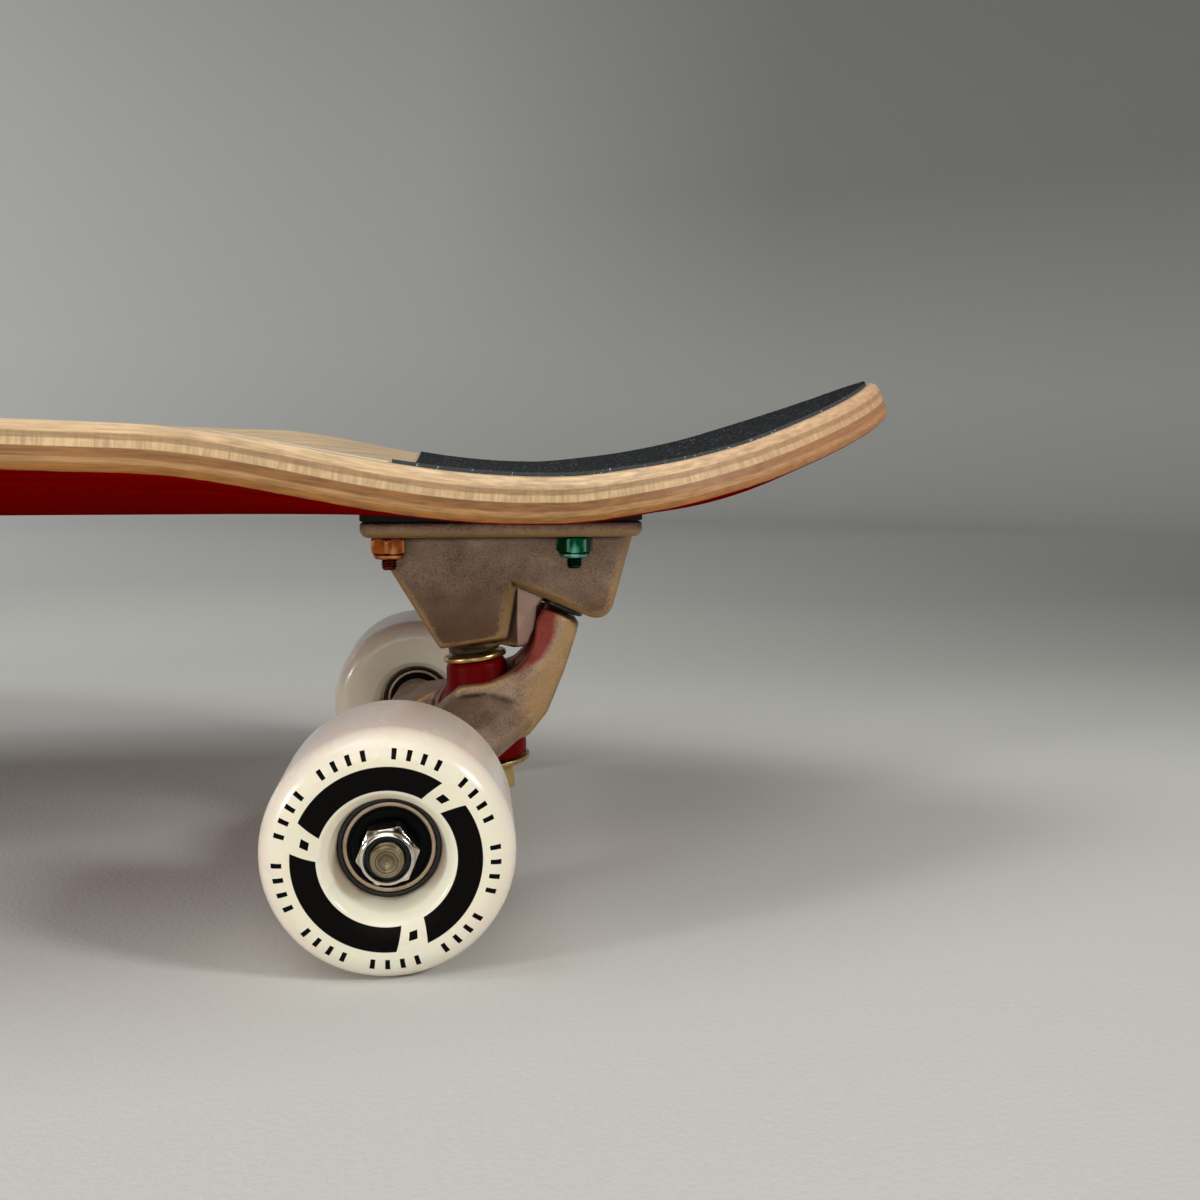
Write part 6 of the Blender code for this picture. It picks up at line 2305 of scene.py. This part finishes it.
@dataclass(frozen=True)
class Lamp:
    """A soft square lamp that faces the rear axle."""

    name: str
    turn: float                     # degrees about the axle, from the photographer's side to the tail
    rise: float                     # degrees above the floor
    distance: float
    size: float
    power: float

    def place(self, focus: Vector) -> Vector:
        """Where the lamp stands.

        Args:
            focus: What it faces.

        Returns:
            Its place.
        """
        turn, rise = math.radians(self.turn), math.radians(self.rise)
        out = Vector((math.sin(turn) * math.cos(rise), -math.cos(turn) * math.cos(rise), math.sin(rise)))
        return focus + out * self.distance


@dataclass
class Studio:
    """The pale sweep, the soft lamps and the camera at the photograph's angle."""

    focus: Vector                   # the rear axle's middle
    lens: float = 39.38
    sensor: float = 36.0
    camera_offset: tuple[float, float, float] = (19.48 * MM, -405.2 * MM, 125.43 * MM)
    yaw: float = math.radians(5.727)
    pitch: float = math.radians(-6.98)
    floor_radius: float = 1.7
    wall_radius: float = 2.4
    wall_height: float = 2.6
    # Painted light and shade on the sweep: lighter near the board, darker outwards, up the wall and towards
    # the tail.
    near: Colour = screen(207, 207, 203)
    middle: Colour = screen(190, 190, 186)
    far: Colour = screen(186, 186, 183)
    high: Colour = screen(172, 172, 169)
    tail_side_shade: Colour = screen(142, 142, 139)       # far off towards the tail
    fibre: Colour = screen(120, 118, 114)
    lamps: tuple[Lamp, ...] = (Lamp("key", 55, 28, 1.4, 0.22, 7.5), Lamp("over", -10, 58, 1.6, 1.0, 6.2),
                               Lamp("above", -80, 64, 1.1, 0.55, 3.4), Lamp("front", -8, 15, 1.5, 0.8, 3.0),
                               Lamp("side", -60, 13.5, 1.7, 0.24, 10.0))
    lamp_colour: Colour = (1.0, 0.985, 0.96)
    backdrop_colour: Colour = (0.97, 0.99, 1.0)
    sky: Colour = (0.95, 0.98, 1.0)
    sky_strength: float = 0.12

    def build(self) -> None:
        """Adds the sweep, the lamps, the world and the camera."""
        self.build_sweep()
        self.build_lamps()
        self.build_world()
        self.build_camera()
        bpy.context.scene.view_settings.view_transform = "Standard"

    def build_sweep(self) -> None:
        """A round floor that curves up into a wall on every side, so that all views see it."""
        bend = self.wall_radius - self.floor_radius
        arc = [(self.floor_radius + bend * math.sin(a), bend * (1 - math.cos(a)))
               for a in np.radians(np.linspace(0, 90, 24))]
        line = np.array([(0, 0), (0.4, 0), (1.0, 0), *arc, (self.wall_radius, self.wall_height)])
        mesh = mesh_of("sweep", stacked(spun(line, 96), closed=False))
        mesh.shade_smooth()
        mesh.materials.append(self.paper())
        in_scene("sweep", mesh)

    def paper(self) -> bpy.types.Material:
        """The sweep's pale paper with painted shade: lighter near the board, darker outwards, on the wall
        and far off towards the tail.

        Returns:
            The material.
        """
        nodes = Nodes("pale_paper")
        place = nodes.place()
        fibre = nodes.noise(place, 700.0, 4, 0.6)
        x, y, z = nodes.parts(place)
        paper = nodes.bands(nodes.spread(nodes.reach(x, y), 0.0, 2.0),
                            ((0.2, self.near), (0.4, self.middle), (0.8, self.far)))
        wall = nodes.bands(z, ((0.02, self.far), (0.3, self.far), (1.0, self.high)))
        paper = nodes.mix(nodes.spread(z, 0.0, 0.04), paper, wall)
        # Painted shade: darker behind the board and up the wall towards the tail.
        behind = nodes.times(nodes.spread(y, 0.05, 0.3), nodes.spread(y, 1.2, 0.6))
        behind = nodes.larger(behind, nodes.spread(z, 0.2, 0.62))
        tail_side_shade = nodes.times(nodes.spread(x, 0.2, 0.9), behind)
        paper = nodes.mix(nodes.times(tail_side_shade, 0.85), paper, self.tail_side_shade)
        paper = nodes.mix(nodes.spread(fibre, 0.3, 0.7, 0.0, 0.04), paper, self.fibre)
        nodes.surface(Base_Color=paper, Roughness=0.9, Specular_IOR_Level=0.2)
        nodes.relief(fibre, 0.15 * MM)
        return nodes.material

    def lamp(self, name: str, place: Vector, target: Vector, size: float, power: float, colour: Colour
             ) -> None:
        """Adds a square area lamp.

        Args:
            name: Its name.
            place: Where it stands.
            target: What it faces.
            size: Of its side.
            power: In watts.
            colour: Of its light.
        """
        data = bpy.data.lights.new(name, "AREA")
        data.shape = "SQUARE"
        data.size = size
        data.energy = power
        data.color = colour
        made = bpy.data.objects.new(name, data)
        bpy.context.scene.collection.objects.link(made)
        made.location = place
        made.rotation_euler = (target - place).to_track_quat("-Z", "Y").to_euler()

    def build_lamps(self) -> None:
        """A key from the tail's side, three soft lamps, a low one from the nose's side and a backdrop."""
        for lamp in self.lamps:
            place = lamp.place(self.focus)
            self.lamp(lamp.name, place, self.focus, lamp.size, lamp.power, self.lamp_colour)
        wall = Vector((-0.7, 2.4, 0.45))
        self.lamp("backdrop", Vector((-1.25, 0.75, 1.0)), wall, 0.7, 17.0, self.backdrop_colour)

    def build_world(self) -> None:
        """A plain pale world."""
        world = bpy.data.worlds.new("studio")
        world.use_nodes = True
        background = world.node_tree.nodes["Background"]
        background.inputs["Color"].default_value = (*self.sky, 1.0)
        background.inputs["Strength"].default_value = self.sky_strength
        bpy.context.scene.world = world

    def build_camera(self) -> None:
        """The camera at the photograph's place."""
        data = bpy.data.cameras.new("camera")
        data.lens = self.lens
        data.sensor_width = self.sensor
        data.clip_start = 0.01
        made = bpy.data.objects.new("camera", data)
        bpy.context.scene.collection.objects.link(made)
        dx, y, z = self.camera_offset
        made.location = (self.focus.x + dx, y, z)
        flat = math.cos(self.pitch)
        ahead = Vector((math.sin(self.yaw) * flat, math.cos(self.yaw) * flat, math.sin(self.pitch)))
        made.rotation_euler = ahead.to_track_quat("-Z", "Y").to_euler()
        bpy.context.scene.camera = made


def main() -> None:
    """Builds the board around the frame, and the studio."""
    logging.basicConfig(level=logging.INFO, format="%(message)s")
    trucks = [Truck("rear", 0.0), Truck("front", math.pi)]
    rear, front = trucks
    bolts = [spot for truck in trucks for spot in truck.bolt_spots().values()]
    deck = Deck(rear.place.translation.x, front.place.translation.x, bolts[0].z)
    deck.build(bolts)
    shared = TruckMeshes(rear.form, rear.place)
    wheel = Wheel()
    meshes = {"tyre": wheel.tyre_mesh(rear.place.translation.z, rear.form),
              "core": wheel.core_mesh(rear.form), **wheel.bearing_meshes(rear.form)}
    tyre_finish = WheelFinish().build()
    for truck in trucks:
        truck.build(shared)
        for side in Side:
            wheel.build(truck, side, meshes, tyre_finish)
    Studio(rear.place.translation).build()


if __name__ == "__main__":
    main()
